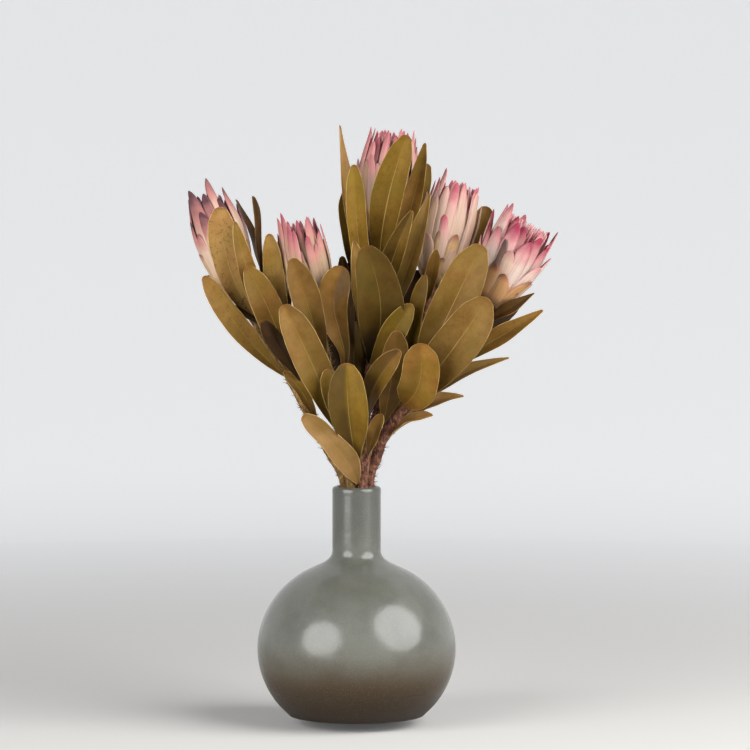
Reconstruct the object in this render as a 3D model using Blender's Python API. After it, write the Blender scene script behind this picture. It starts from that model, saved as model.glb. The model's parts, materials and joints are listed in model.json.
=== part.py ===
"""Five dried protea flowers on leafy stems, standing in a glazed globe vase.

Metres, +Z up. The origin is the centre of the vase's flat foot, and -Y is the front.
Lengths below are millimetres and are turned into metres as each mesh is made.
"""

import math
from collections import namedtuple

import bmesh
import bpy
from mathutils import Matrix, Vector
from mathutils.bvhtree import BVHTree

MM = 0.001
GAP = 0.4  # free space kept between neighbouring pieces
FRONT = Vector((0, -1, 0))

# ---- Vase ----
VASE_HEIGHT = 200.0
GLOBE_RADIUS = 83.0
GLOBE_HALF_HEIGHT = 76.0
GLOBE_CENTRE = 64.0
FOOT_RADIUS = 45.0
FLOOR = 7.0  # thickness of the vase's bottom
GLOBE_WALL = 5.0
NECK_RADIUS = 20.3
NECK_WALL = 4.3
SHOULDER_RADIUS = 33.0  # where the globe starts to sweep up into the neck
NECK_START = 146.0
VASE_SIDES = 36

# ---- Stems: the cut end stands just over the vase's floor ----
STEM_FOOT = FLOOR + 2.0
STEM_RADIUS = 4.4
STEM_TOP_SHARE = 0.8  # radius under the flower, as a share of the radius at the cut end
STEM_STEPS = 16

# Each stem is a smooth curve through these points, from the cut end to the flower.
STEMS = {
    "far_left": [
        (-14, -5, STEM_FOOT),
        (-12, -3, 110),
        (-10.3, -1.4, 200),
        (-18, -3, 222),
        (-34, -4, 250),
        (-58, 1, 296),
        (-82, 8, 334),
        (-97, 14, 358),
    ],
    "left": [
        (-7, -14, STEM_FOOT),
        (-5.2, -10, 110),
        (-5.2, -9.6, 200),
        (-9, -10.5, 232),
        (-18, -9, 262),
        (-24, -9, 300),
        (-31, -10, 334),
    ],
    "middle": [
        (0, 1.5, STEM_FOOT),
        (0, 1.5, 110),
        (0, 1.5, 200),
        (6, 6, 250),
        (13, 12, 310),
        (16, 16, 360),
        (17, 20, 404),
    ],
    "right": [
        (7, -14, STEM_FOOT),
        (5.2, -10, 110),
        (5.2, -9.6, 200),
        (9, -11, 234),
        (20, -4, 266),
        (40, 8, 308),
        (55, 11, 342),
        (64, 12, 366),
    ],
    "far_right": [
        (14, -5, STEM_FOOT),
        (12, -3, 110),
        (10.3, -1.4, 200),
        (15.5, -2, 222),
        (24, -5, 245),
        (38, -8, 263),
        (58, -9, 296),
        (86, -8, 330),
        (106, -6, 350),
    ],
}

# ---- Flower heads: a crown of bracts round a brush of florets ----
# rim is the radius at the bract tips, as a share of the head's greatest radius
Head = namedtuple("Head", "stem tip radius rim")
HEADS = [
    Head("far_left", (-128, 24, 447), 21, 0.8),
    Head("left", (-50, -14, 424), 19, 0.8),
    Head("middle", (31, 26, 500), 23, 0.76),
    Head("right", (86, 14, 455), 22, 0.8),
    Head("far_right", (148, -6, 426), 25, 1.0),
]
CROWN_LOBES = 8
CROWN_SIDES = 3 * CROWN_LOBES
CROWN_WALL = 2.6
CROWN_NOTCH = 0.84  # height of the notch between two bract tips, as a share of the head
BRUSH_SIDES = 10

# ---- Leaves ----
LEAF_THICKNESS = 1.5
LEAF_STATIONS = (0.0, 0.08, 0.2, 0.34, 0.5, 0.66, 0.8, 0.91, 0.975)
LEAF_ACROSS = (-0.5, 0.0, 0.5)  # points between the two margins, as shares of the half width
LEAF_BASE_SHARE = 0.16  # width at the root, as a share of the full width
TIP_BLUNTNESS = 2.5
TILTS = (0, 4, -4, 8, -8, 12, -12, 16, -16, 20, -20, 25, -25, 30, -30, 36, -36, 42, 50, 58, 66)
ROLLS = (0, 12, -12, 24, -24, 38, -38, 55, -55)

# A leaf springs from `stem` at height `root` and ends at `tip`. Its blade faces the front
# where turn is 0. Sweep bows it sideways and sway gives it an S. Arch bows it along its face,
# cup lifts its margins, and twist turns its tip against its root. It is widest at the share
# `widest` of its length, and slim above 1 narrows it towards its root. The order below is the
# order in which they are placed.
Leaf = namedtuple(
    "Leaf",
    "stem root tip width turn sweep arch sway twist cup widest slim",
    defaults=(0, 0, 6, 0, 0, 0.22, 0.6, 1),
)
LEAVES = [
    # the large ones at the front of the bunch
    Leaf("middle", 380, (42, -30, 492), 29, turn=-8, sweep=-4, widest=0.54),
    Leaf("middle", 304, (7, -48, 401), 39, turn=6, sweep=10, arch=8, widest=0.52),
    Leaf("left", 251, (-60, -52, 353), 28, turn=10, sweep=1, arch=8),
    Leaf("left", 295, (-53, -48, 391), 25, turn=8, sweep=1, arch=7),
    Leaf("right", 205, (-44, -50, 262), 18, turn=8, sweep=4, arch=8, widest=0.52),
    Leaf("right", 217, (-8, -50, 305), 36, sweep=-3, arch=8, cup=0.35, widest=0.56),
    Leaf("far_left", 338, (-112, -34, 433), 25, sweep=-8, widest=0.66),
    Leaf("far_left", 294, (-126, -22, 376), 19, turn=12, sweep=-6),
    Leaf("far_right", 286, (103, -46, 402), 36, turn=-6),
    Leaf("far_right", 274, (107, -66, 359), 38, sweep=2),
    Leaf("far_right", 300, (154, -26, 348), 16, turn=-20, sweep=3, arch=4, widest=0.5),
    Leaf("far_right", 264, (126, -34, 309), 14, turn=-45, sweep=-4),
    Leaf("far_right", 268, (52, -62, 322), 35, turn=-6, sweep=8, twist=15, widest=0.4, slim=0.65),
    # beside and below the middle flower
    Leaf("middle", 352, (-14, 8, 501), 20, turn=50, sweep=-10, arch=3, twist=20),
    Leaf("middle", 344, (-2, -20, 468), 18, turn=12, sweep=-5, arch=5),
    Leaf("middle", 362, (57, -8, 486), 18, turn=-20, sweep=6, arch=4),
    Leaf("middle", 340, (46, -34, 430), 18, turn=-12, sweep=-2, arch=5),
    Leaf("middle", 322, (60.5, -20, 444), 18, turn=-28, sweep=6, arch=4),
    Leaf("middle", 308, (-2, -24, 405), 22, turn=20, arch=4),
    Leaf("left", 282, (-11, -36, 384), 25, sway=6, arch=6, twist=-20, widest=0.74, slim=2),
    # on the left
    Leaf("far_left", 282, (-90, -36, 384), 25, turn=5, sweep=3),
    Leaf("far_left", 318, (-100, -20, 421), 22, turn=10, sweep=-3, arch=5),
    Leaf("far_left", 250, (-60, -26, 297), 12, turn=35, sweep=3, arch=4),
    Leaf("left", 242, (-24, -30, 300), 18, turn=5, arch=5, widest=0.75),
    Leaf("far_left", 304, (-72, -20, 411), 18, arch=5),
    # on the right
    Leaf("far_right", 250, (89, -36, 276), 17, turn=-45, sweep=-4, widest=0.66),
    Leaf("far_right", 246, (63, -26, 261), 14, turn=-60, arch=4, widest=0.66),
    Leaf("middle", 258, (36, -56, 316), 20, turn=-20, sweep=-3, arch=8, twist=-10),
    Leaf("middle", 286, (46, -34, 353), 21, turn=-12, sweep=-2),
    Leaf("far_right", 250, (33, -34, 331), 25, turn=-6, arch=4),
    Leaf("right", 228, (21, -26, 262), 12, turn=-20, arch=3),
    Leaf("right", 354, (66, -22, 398), 11, arch=2),
    Leaf("far_right", 284, (57, -26, 377), 14, turn=-20, sweep=-3, arch=3),
    Leaf("far_right", 334, (147, -24, 362), 12, turn=-30, sweep=3, arch=3),
    # behind
    Leaf("far_left", 338, (-87, 24, 442), 10, turn=50, arch=3, twist=20, widest=0.85, slim=1.6),
    Leaf("far_left", 330, (-102, 42, 439), 16, turn=78, sweep=11, arch=4),
    Leaf("right", 340, (110, 36, 433), 22, sweep=5, arch=-5, widest=0.75),
    Leaf("far_left", 278, (-64, 26, 372), 28, sweep=-8),
    Leaf("middle", 368, (60, 38, 469), 20, turn=30, sweep=4, arch=-5),
    Leaf("middle", 352, (-8, 48, 448), 26, arch=-7),
    Leaf("left", 268, (-34, 46, 356), 30, arch=-8),
    Leaf("middle", 258, (20, 60, 340), 32, sweep=2, arch=-8),
    Leaf("right", 290, (66, 54, 380), 30, arch=-8),
    Leaf("far_right", 244, (62, 44, 316), 28, sweep=-4, arch=-7),
]


def material(name, colour, roughness):
    """A Principled material with an sRGB hex colour."""
    made = bpy.data.materials.new(name)
    made.use_nodes = True
    shader = made.node_tree.nodes["Principled BSDF"]
    channels = [int(colour[i : i + 2], 16) / 255 for i in (1, 3, 5)]
    linear = [c / 12.92 if c <= 0.04045 else ((c + 0.055) / 1.055) ** 2.4 for c in channels]
    shader.inputs["Base Color"].default_value = (*linear, 1)
    shader.inputs["Roughness"].default_value = roughness
    return made


def add_object(name, data, finish):
    made = bpy.data.objects.new(name, data)
    data.materials.append(finish)
    bpy.context.scene.collection.objects.link(made)
    return made


def clear_scene():
    for old in list(bpy.data.objects):
        bpy.data.objects.remove(old)


def skinned_mesh(name, start, rings, end):
    """A closed mesh over equal rings of points, with a pole before the first and after the last."""
    bm = bmesh.new()
    rows = [[bm.verts.new(p * MM) for p in ring] for ring in rings]
    poles = [bm.verts.new(start * MM), bm.verts.new(end * MM)]
    count = len(rows[0])
    for i in range(count):
        j = (i + 1) % count
        bm.faces.new((poles[0], rows[0][j], rows[0][i]))
        bm.faces.new((poles[1], rows[-1][i], rows[-1][j]))
        for lower, upper in zip(rows, rows[1:]):
            bm.faces.new((lower[i], lower[j], upper[j], upper[i]))
    bmesh.ops.recalc_face_normals(bm, faces=bm.faces)
    mesh = bpy.data.meshes.new(name)
    bm.to_mesh(mesh)
    bm.free()
    return mesh


def bezier_2(a, b, c, t):
    """A point on the quadratic curve from a to c that leans towards b."""
    return a * (1 - t) ** 2 + b * (2 * t * (1 - t)) + c * t**2


# ---------------------------------------------------------------- vase


def globe_point(radius, inset, upper):
    """The point of the globe's wall at that radius, above or below its widest height."""
    wide, tall = GLOBE_RADIUS - inset, GLOBE_HALF_HEIGHT - inset
    rise = tall * math.sqrt(max(0.0, 1 - (radius / wide) ** 2))
    return Vector((radius, 0, GLOBE_CENTRE + (rise if upper else -rise)))


def globe_wall(low, high, inset, steps):
    """The globe's wall from point low up to point high, in equal turns round its centre."""
    wide, tall = GLOBE_RADIUS - inset, GLOBE_HALF_HEIGHT - inset
    first, last = (math.atan2((p.z - GLOBE_CENTRE) / tall, p.x / wide) for p in (low, high))
    turns = [first + (last - first) * i / steps for i in range(steps + 1)]
    return [Vector((wide * math.cos(a), 0, GLOBE_CENTRE + tall * math.sin(a))) for a in turns]


def shoulder(shoulder_radius, neck_radius, inset, steps=4):
    """The sweep from the globe up into the neck, tangent to both."""
    low = globe_point(shoulder_radius, inset, upper=True)
    slope = (GLOBE_HALF_HEIGHT / GLOBE_RADIUS) ** 2 * low.x / (low.z - GLOBE_CENTRE)
    corner = Vector((neck_radius, 0, low.z + slope * (low.x - neck_radius)))
    high = Vector((neck_radius, 0, NECK_START))
    return [bezier_2(low, corner, high, i / steps) for i in range(1, steps + 1)]


def vase_profile():
    """The vase's section from the centre of its foot, up the outside, and down the inside."""
    inner_neck = NECK_RADIUS - NECK_WALL
    foot = Vector((FOOT_RADIUS, 0, 0))
    outside = globe_wall(foot, globe_point(SHOULDER_RADIUS, 0, True), 0, 12)
    outside[0] = foot
    lip_radius = NECK_WALL / 2
    lip_centre = Vector((NECK_RADIUS - lip_radius, 0, VASE_HEIGHT - lip_radius))
    turns = [math.radians(a) for a in (0, 45, 90, 135, 180)]
    lip = [lip_centre + Vector((math.cos(a), 0, math.sin(a))) * lip_radius for a in turns]
    floor_rise = (GLOBE_CENTRE - FLOOR) / (GLOBE_HALF_HEIGHT - GLOBE_WALL)
    floor_edge = Vector(((GLOBE_RADIUS - GLOBE_WALL) * math.sqrt(1 - floor_rise**2), 0, FLOOR))
    inner_shoulder = SHOULDER_RADIUS - NECK_WALL
    inside = globe_wall(floor_edge, globe_point(inner_shoulder, GLOBE_WALL, True), GLOBE_WALL, 9)
    inside += shoulder(inner_shoulder, inner_neck, GLOBE_WALL, 3)
    return [
        Vector((0, 0, 0)),
        *outside,
        *shoulder(SHOULDER_RADIUS, NECK_RADIUS, 0),
        *lip,
        *reversed(inside),
        Vector((0, 0, FLOOR)),
    ]


def make_vase(finish):
    """The profile spun round the Z axis."""
    bm = bmesh.new()
    points = [bm.verts.new(p * MM) for p in vase_profile()]
    edges = [bm.edges.new(pair) for pair in zip(points, points[1:])]
    bmesh.ops.spin(
        bm,
        geom=points + edges,
        cent=(0, 0, 0),
        axis=(0, 0, 1),
        angle=math.tau,
        steps=VASE_SIDES,
        use_merge=True,
    )
    bmesh.ops.remove_doubles(bm, verts=bm.verts, dist=GAP * MM / 10)
    bmesh.ops.recalc_face_normals(bm, faces=bm.faces)
    mesh = bpy.data.meshes.new("vase")
    bm.to_mesh(mesh)
    bm.free()
    vase = add_object("vase", mesh, finish)
    mesh.shade_smooth()
    mesh.set_sharp_from_angle(angle=math.radians(40))
    return vase


# ---------------------------------------------------------------- stems


class Path:
    """A smooth curve through points, each span a cubic, read by its share or by its height."""

    def __init__(self, points):
        self.points = [Vector(p) for p in points]

    def at(self, share):
        spans = len(self.points) - 1
        i = min(int(share * spans), spans - 1)
        t = share * spans - i
        p1, p2 = self.points[i], self.points[i + 1]
        p0 = self.points[i - 1] if i else p1 * 2 - p2
        p3 = self.points[i + 2] if i + 2 <= spans else p2 * 2 - p1
        bend = (p0 * 2 - p1 * 5 + p2 * 4 - p3) * t**2 + (p1 * 3 - p0 - p2 * 3 + p3) * t**3
        return p1 + ((p2 - p0) * t + bend) / 2

    def direction(self, share, step=0.002):
        return (self.at(min(1, share + step)) - self.at(max(0, share - step))).normalized()

    def share_at_height(self, height):
        """Stems only climb, so the share at a height is found by halving."""
        low, high = 0.0, 1.0
        for _ in range(40):
            middle = (low + high) / 2
            if self.at(middle).z < height:
                low = middle
            else:
                high = middle
        return low


def stem_radius(share):
    return STEM_RADIUS * (1 - (1 - STEM_TOP_SHARE) * share)


def make_stem(name, path, finish):
    """A tapered round tube along the stem's path."""
    curve = bpy.data.curves.new(f"stem_{name}", "CURVE")
    curve.dimensions = "3D"
    curve.bevel_depth = STEM_RADIUS * MM
    curve.bevel_resolution = 2
    curve.use_fill_caps = True
    spline = curve.splines.new("POLY")
    spline.points.add(STEM_STEPS)
    for i, point in enumerate(spline.points):
        share = i / STEM_STEPS
        point.co = (*(path.at(share) * MM), 1)
        point.radius = stem_radius(share) / STEM_RADIUS
    return add_object(f"stem_{name}", curve, finish)


# ---------------------------------------------------------------- flower heads


def head_radius(head, share):
    """Radius at a share of a head's height: a narrow base, an early swell, then in to the rim."""
    swell = 0.26 + 0.74 * math.sin(math.pi / 2 * min(1, share / 0.7) ** 0.7)
    closing = max(0, share - 0.55) / 0.45
    return head.radius * swell * (1 - (1 - head.rim) * closing**1.5)


def ring_about(base, frame, radius, height, sides, wave=None):
    """A ring of points round a head's axis. wave(i) gives (radius factor, height factor)."""
    points = []
    for i in range(sides):
        wide, tall = wave(i) if wave else (1, 1)
        turn = math.tau * i / sides
        flat = Vector((math.cos(turn), math.sin(turn), 0)) * radius * wide
        points.append(base + frame @ (flat + Vector((0, 0, height * tall))))
    return points


def lobe_wave(i):
    """Bract tips stand at every third point of the rim, with notches between them."""
    on_tip = i % 3 == 1
    return (1.0, 1.0) if on_tip else (0.985, CROWN_NOTCH)


def make_head(head, path, crown_finish, brush_finish):
    """The crown is an open cup with a lobed rim, and the brush of florets fills it."""
    direction = (Vector(head.tip) - path.at(1)).normalized()
    tilted_end = stem_radius(1) * direction.cross(path.direction(1)).length
    base = path.at(1) + direction * (tilted_end + GAP + 0.3)
    length = (Vector(head.tip) - base).length
    frame = direction.to_track_quat("Z", "Y").to_matrix()
    rings = []
    for share in (0.0, 0.12, 0.3, 0.58):
        rings.append(ring_about(base, frame, head_radius(head, share), length * share, CROWN_SIDES))
    rings.append(ring_about(base, frame, head_radius(head, 1), length, CROWN_SIDES, lobe_wave))
    for share in (0.8, 0.5, 0.3):
        radius = head_radius(head, share) - CROWN_WALL
        rings.append(ring_about(base, frame, radius, length * share, CROWN_SIDES))
    start = base - direction * 0.3
    floor = base + direction * length * 0.27
    crown = skinned_mesh(f"head_{head.stem}_bracts", start, rings, floor)
    add_object(crown.name, crown, crown_finish)
    rings = []
    for share, narrow in ((0.33, 2.5), (0.5, 1.8), (0.78, 1.8), (0.93, 3.5)):
        radius = head_radius(head, share) - CROWN_WALL - narrow
        rings.append(ring_about(base, frame, radius, length * share, BRUSH_SIDES))
    low = base + direction * length * 0.3
    high = base + direction * length * 0.97
    brush = skinned_mesh(f"head_{head.stem}_florets", low, rings, high)
    add_object(brush.name, brush, brush_finish)


# ---------------------------------------------------------------- leaves


def half_width(share, leaf):
    """Half the blade's width: it swells from a narrow root and ends in a blunt tip."""
    if share < leaf.widest:
        blade = math.sin(math.pi / 2 * share / leaf.widest) ** leaf.slim
        return leaf.width / 2 * (LEAF_BASE_SHARE + (1 - LEAF_BASE_SHARE) * blade)
    past = (share - leaf.widest) / (1 - leaf.widest)
    return leaf.width / 2 * (1 - past**TIP_BLUNTNESS) ** 0.45


def leaf_mesh(name, leaf, path, tilt, roll, swell=0.0):
    """A thin curved blade. tilt moves its tip back, roll turns it, and swell thickens it."""
    share = path.share_at_height(leaf.root)
    axis_point, along_stem = path.at(share), path.direction(share)
    tip = Vector(leaf.tip) + Vector((0, tilt, 0))
    outward = tip - axis_point
    outward = (outward - along_stem * outward.dot(along_stem)).normalized()
    chord = (tip - axis_point).normalized()
    face = (FRONT - chord * FRONT.dot(chord)).normalized()
    face = Matrix.Rotation(math.radians(leaf.turn + roll), 3, chord) @ face
    side = chord.cross(face)
    reach = abs(side.dot(outward)) * half_width(0, leaf) + LEAF_THICKNESS / 2
    root = axis_point + outward * (stem_radius(share) + GAP + reach)
    length = (tip - root).length
    chord = (tip - root).normalized()

    def spine(s):
        bow = 4 * s * (1 - s)
        sideways = leaf.sweep * bow + leaf.sway * math.sin(math.tau * s)
        return root + chord * length * s + face * leaf.arch * bow + side * sideways

    rings = []
    for s in LEAF_STATIONS:
        tangent = (spine(min(1, s + 0.01)) - spine(max(0, s - 0.01))).normalized()
        turned = Matrix.Rotation(math.radians(leaf.twist * (s - 0.3)), 3, tangent) @ face
        across = tangent.cross(turned).normalized()
        normal = across.cross(tangent)
        half = half_width(s, leaf) + swell

        def blade_point(v, thick):
            lift = leaf.cup * half * v * v + thick * (LEAF_THICKNESS / 2 * (1 - 0.4 * v * v) + swell)
            return spine(s) + across * half * v + normal * lift

        top = [blade_point(v, 1) for v in LEAF_ACROSS]
        bottom = [blade_point(v, -1) for v in reversed(LEAF_ACROSS)]
        rings.append([blade_point(-1, 0), *top, blade_point(1, 0), *bottom])
    return skinned_mesh(name, root - chord * (0.5 + swell), rings, tip + chord * swell)


def tree_of(mesh, matrix=None):
    matrix = matrix or Matrix.Identity(4)
    points = [matrix @ v.co for v in mesh.vertices]
    return BVHTree.FromPolygons(points, [tuple(p.vertices) for p in mesh.polygons])


def place_leaf(name, leaf, path, placed, finish):
    """Tilts and rolls a leaf by the least amount that keeps it clear of all that is placed."""
    for tilt, roll in sorted(
        ((t, r) for t in TILTS for r in ROLLS), key=lambda m: abs(m[0]) * 0.8 + abs(m[1]) * 0.5
    ):
        trial = leaf_mesh("trial", leaf, path, tilt, roll, swell=GAP)
        tree = tree_of(trial)
        bpy.data.meshes.remove(trial)
        if not any(tree.overlap(other) for other in placed):
            mesh = leaf_mesh(name, leaf, path, tilt, roll)
            placed.append(tree_of(mesh))
            print(f"{name}: tilt {tilt} mm, roll {roll} degrees")
            return add_object(name, mesh, finish)
    raise ValueError(f"{name} has no clear place")


def main():
    clear_scene()
    glaze = material("grey_green_glaze", "#7B8077", 0.18)
    bark = material("stem_bark", "#7A5138", 0.85)
    bracts = material("pink_bracts", "#D9A6A3", 0.6)
    florets = material("rose_florets", "#B9566B", 0.7)
    blade = material("dried_leaf", "#8A7442", 0.65)
    make_vase(glaze)
    paths = {name: Path(points) for name, points in STEMS.items()}
    for name, path in paths.items():
        make_stem(name, path, bark)
    for head in HEADS:
        make_head(head, paths[head.stem], bracts, florets)
    bpy.context.view_layer.update()
    graph = bpy.context.evaluated_depsgraph_get()
    placed = []
    for other in bpy.context.scene.objects:
        evaluated = other.evaluated_get(graph)
        placed.append(tree_of(evaluated.to_mesh(), other.matrix_world))
        evaluated.to_mesh_clear()
    numbers = dict.fromkeys(STEMS, 0)
    for leaf in LEAVES:
        numbers[leaf.stem] += 1
        name = f"leaf_{leaf.stem}_{numbers[leaf.stem]:02d}"
        place_leaf(name, leaf, paths[leaf.stem], placed, blade)


main()
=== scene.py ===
"""Dried proteas in a glazed globe vase: the finished look, built round the CAD frame."""

from collections import namedtuple
import json
import math
import random

import bmesh
import bpy
import numpy as np
from mathutils import Matrix, Vector, noise

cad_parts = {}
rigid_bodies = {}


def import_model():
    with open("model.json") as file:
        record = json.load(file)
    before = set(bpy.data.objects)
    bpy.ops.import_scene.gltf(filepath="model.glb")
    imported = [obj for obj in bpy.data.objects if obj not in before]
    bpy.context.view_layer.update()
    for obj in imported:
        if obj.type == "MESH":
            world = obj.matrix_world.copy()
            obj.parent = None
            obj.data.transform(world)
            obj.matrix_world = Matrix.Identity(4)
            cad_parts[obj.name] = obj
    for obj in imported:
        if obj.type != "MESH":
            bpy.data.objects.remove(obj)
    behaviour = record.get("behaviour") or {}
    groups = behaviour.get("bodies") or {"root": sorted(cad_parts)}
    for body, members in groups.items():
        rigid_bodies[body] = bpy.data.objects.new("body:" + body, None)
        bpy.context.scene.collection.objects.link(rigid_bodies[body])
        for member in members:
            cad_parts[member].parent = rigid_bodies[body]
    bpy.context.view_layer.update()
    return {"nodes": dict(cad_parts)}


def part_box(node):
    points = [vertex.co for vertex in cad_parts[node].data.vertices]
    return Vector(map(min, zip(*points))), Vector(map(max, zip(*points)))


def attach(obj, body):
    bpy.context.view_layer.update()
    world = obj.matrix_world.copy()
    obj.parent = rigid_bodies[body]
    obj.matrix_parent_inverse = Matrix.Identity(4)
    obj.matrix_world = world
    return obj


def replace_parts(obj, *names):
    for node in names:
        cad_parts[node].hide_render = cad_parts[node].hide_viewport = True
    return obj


MM = 0.001
GOLDEN_ANGLE = math.radians(137.508)
FRONT = np.array([0.0, -1.0, 0.0])

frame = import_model()
CAD = frame["nodes"]
LEAVES = sorted(name for name in CAD if name.startswith("leaf_"))
STEMS = sorted(name for name in CAD if name.startswith("stem_"))
HEADS = sorted(name[5:-7] for name in CAD if name.startswith("head_") and name.endswith("_bracts"))


# ---------------------------------------------------------------- nodes and colours


def linear(colour):
    """An sRGB hex colour as linear RGBA."""
    channels = [int(colour[i : i + 2], 16) / 255 for i in (1, 3, 5)]
    return (*[c / 12.92 if c <= 0.04045 else ((c + 0.055) / 1.055) ** 2.4 for c in channels], 1.0)


# The kinds of node used most, and the setting that eases a range in and out.
MATH, VECTOR_MATH = "ShaderNodeMath", "ShaderNodeVectorMath"
RANGE, MIX, STOPS, BUMP = "ShaderNodeMapRange", "ShaderNodeMix", "ShaderNodeValToRGB", "ShaderNodeBump"
NOISE, CELLS = "ShaderNodeTexNoise", "ShaderNodeTexVoronoi"
FIELD, PLACE = "ShaderNodeAttribute", "ShaderNodeTexCoord"
SPLIT, JOIN = "ShaderNodeSeparateXYZ", "ShaderNodeCombineXYZ"
RANDOM, KEEP_FIELD = "FunctionNodeRandomValue", "GeometryNodeStoreNamedAttribute"
ON_POINTS = "GeometryNodeInstanceOnPoints"
REALIZE, SET_MATERIAL = "GeometryNodeRealizeInstances", "GeometryNodeSetMaterial"
SMOOTH = {"interpolation_type": "SMOOTHSTEP"}


def add(tree, kind, inputs=None, stops=None, **settings):
    """Adds a node with its settings. An input is a value, a socket, or a node, which stands for
    its first output in use. Inputs go by name or number: a RANGE takes its value at 0 from 1..2
    to 3..4, a MIX goes by 0 from colour 6 to 7 or from vector 4 to 5, and a RANDOM lies between
    numbers 2 and 3 or vectors 0 and 1."""
    made = tree.nodes.new(kind)
    for name, value in settings.items():
        setattr(made, name, value)
    for key, value in (inputs or {}).items():
        if isinstance(value, bpy.types.Node):
            value = next(output for output in value.outputs if output.enabled)
        if isinstance(value, bpy.types.NodeSocket):
            tree.links.new(value, made.inputs[key])
        else:
            made.inputs[key].default_value = value
    if stops:
        elements = made.color_ramp.elements
        while len(elements) < len(stops):
            elements.new(0.5)
        for element, (place, colour) in zip(elements, stops):
            element.position, element.color = place, linear(colour)
    return made


def finish_with(tree, shader, **outputs):
    """Links nodes to the shader's sockets, each by its first output in use."""
    for key, value in outputs.items():
        source = next(output for output in value.outputs if output.enabled)
        tree.links.new(source, shader.inputs[key.replace("_", " ")])


def new_material(name, **constants):
    """A material with one Principled shader, whose constants sit on its own sockets."""
    made = bpy.data.materials.new(name)
    made.use_nodes = True
    tree = made.node_tree
    shader = tree.nodes["Principled BSDF"]
    for key, value in constants.items():
        shader.inputs[key.replace("_", " ")].default_value = value
    return made, tree, shader


# ---------------------------------------------------------------- reading the CAD shapes


def joined_copy(name):
    """A CAD node's mesh with its loose triangles joined."""
    bm = bmesh.new()
    bm.from_mesh(CAD[name].data)
    bmesh.ops.remove_doubles(bm, verts=bm.verts, dist=0.005 * MM)
    bm.verts.ensure_lookup_table()
    return bm


def skin_rings(name, sides):
    """The rings of a skin that runs from pole to pole: (pole, rings in order, pole), twice over,
    once from each end."""
    bm = joined_copy(name)
    places = np.array([v.co for v in bm.verts])
    near = [[e.other_vert(v).index for e in v.link_edges] for v in bm.verts]
    bm.free()
    found = []
    for pole in range(len(near)):
        if len(near[pole]) != sides:
            continue
        layers, seen = [[pole]], {pole}
        while layers[-1]:
            layers.append(sorted({n for i in layers[-1] for n in near[i]} - seen))
            seen.update(layers[-1])
        layers.pop()
        if len(layers[-1]) == 1 and all(len(layer) == sides for layer in layers[1:-1]):
            rings = []
            for layer in layers[1:-1]:
                walk = [layer[0]]
                while len(walk) < sides:
                    walk.append(next(n for n in near[walk[-1]] if n in layer and n not in walk))
                rings.append(places[walk])
            found.append((places[pole], rings, places[layers[-1][0]]))
    return found


def hermite(knots, values, at):
    """Smooth values between knots, along the first axis."""
    slope = np.gradient(values, knots, axis=0)
    k = np.clip(np.searchsorted(knots, at, side="right") - 1, 0, len(knots) - 2)
    span = knots[k + 1] - knots[k]
    t = ((at - knots[k]) / span).reshape(-1, *[1] * (values.ndim - 1))
    span = span.reshape(t.shape)
    return (
        (2 * t**3 - 3 * t**2 + 1) * values[k]
        + (t**3 - 2 * t**2 + t) * span * slope[k]
        + (3 * t**2 - 2 * t**3) * values[k + 1]
        + (t**3 - t**2) * span * slope[k + 1]
    )


def unit(vectors):
    """Vectors of length 1, along the last axis."""
    return vectors / np.maximum(np.linalg.norm(vectors, axis=-1, keepdims=True), 1e-12)


def linked_object(name, data):
    """A new object in the scene."""
    made = bpy.data.objects.new(name, data)
    bpy.context.scene.collection.objects.link(made)
    return made


def store_field(mesh, key, values):
    """A number for each vertex, which a material can read."""
    field = mesh.attributes.new(key, "FLOAT", "POINT")
    field.data.foreach_set("value", np.asarray(values, np.float32))


def smooth_mesh(name, places, faces, uv=None):
    """A smooth-shaded mesh. uv is one pair for each vertex."""
    mesh = bpy.data.meshes.new(name)
    mesh.from_pydata(np.asarray(places).tolist(), [], faces)
    mesh.shade_smooth()
    if uv is not None:
        corners = np.zeros(len(mesh.loops), np.int32)
        mesh.loops.foreach_get("vertex_index", corners)
        layer = mesh.uv_layers.new(name="UVMap")
        layer.uv.foreach_set("vector", np.asarray(uv, np.float32)[corners].ravel())
    return mesh


def mesh_object(name, places, faces, finish, uv=None):
    """A smooth mesh piece with its finish."""
    mesh = smooth_mesh(name, places, faces, uv)
    mesh.materials.append(finish)
    return linked_object(name, mesh)


def new_tree(name, *inputs):
    """A Geometry Nodes tree with named inputs, each a name, a kind and a usual value. Gives the
    tree and its inputs' sockets."""
    tree = bpy.data.node_groups.new(name, "GeometryNodeTree")
    for title, kind, value in inputs:
        socket = tree.interface.new_socket(title, in_out="INPUT", socket_type="NodeSocket" + kind)
        if value is not None:
            socket.default_value = value
    tree.interface.new_socket("Geometry", in_out="OUTPUT", socket_type="NodeSocketGeometry")
    return tree, add(tree, "NodeGroupInput").outputs


def outward_normals(mesh):
    """Turns a closed shell's faces outwards, so that the volume they enclose is above 0."""
    bm = bmesh.new()
    bm.from_mesh(mesh)
    bmesh.ops.recalc_face_normals(bm, faces=bm.faces)
    if bm.calc_volume(signed=True) < 0:
        bmesh.ops.reverse_faces(bm, faces=bm.faces)
    bm.to_mesh(mesh)
    bm.free()


def grid_faces(rows, columns, offset=0, closed=False):
    """Quads over a grid of vertices laid out row by row."""
    faces = []
    for i in range(rows - 1):
        for j in range(columns if closed else columns - 1):
            k = (j + 1) % columns
            a, b = offset + i * columns, offset + (i + 1) * columns
            faces.append((a + j, a + k, b + k, b + j))
    return faces


def tube_faces(rows, sides):
    """The faces of a closed tube, laid out row by row, then the middle of its first end and the
    middle of its last."""
    faces = grid_faces(rows, sides, closed=True)
    last, first_end = (rows - 1) * sides, rows * sides
    for j in range(sides):
        k = (j + 1) % sides
        faces.append((k, j, first_end))
        faces.append((last + j, last + k, first_end + 1))
    return faces


# ---------------------------------------------------------------- leaves

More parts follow.
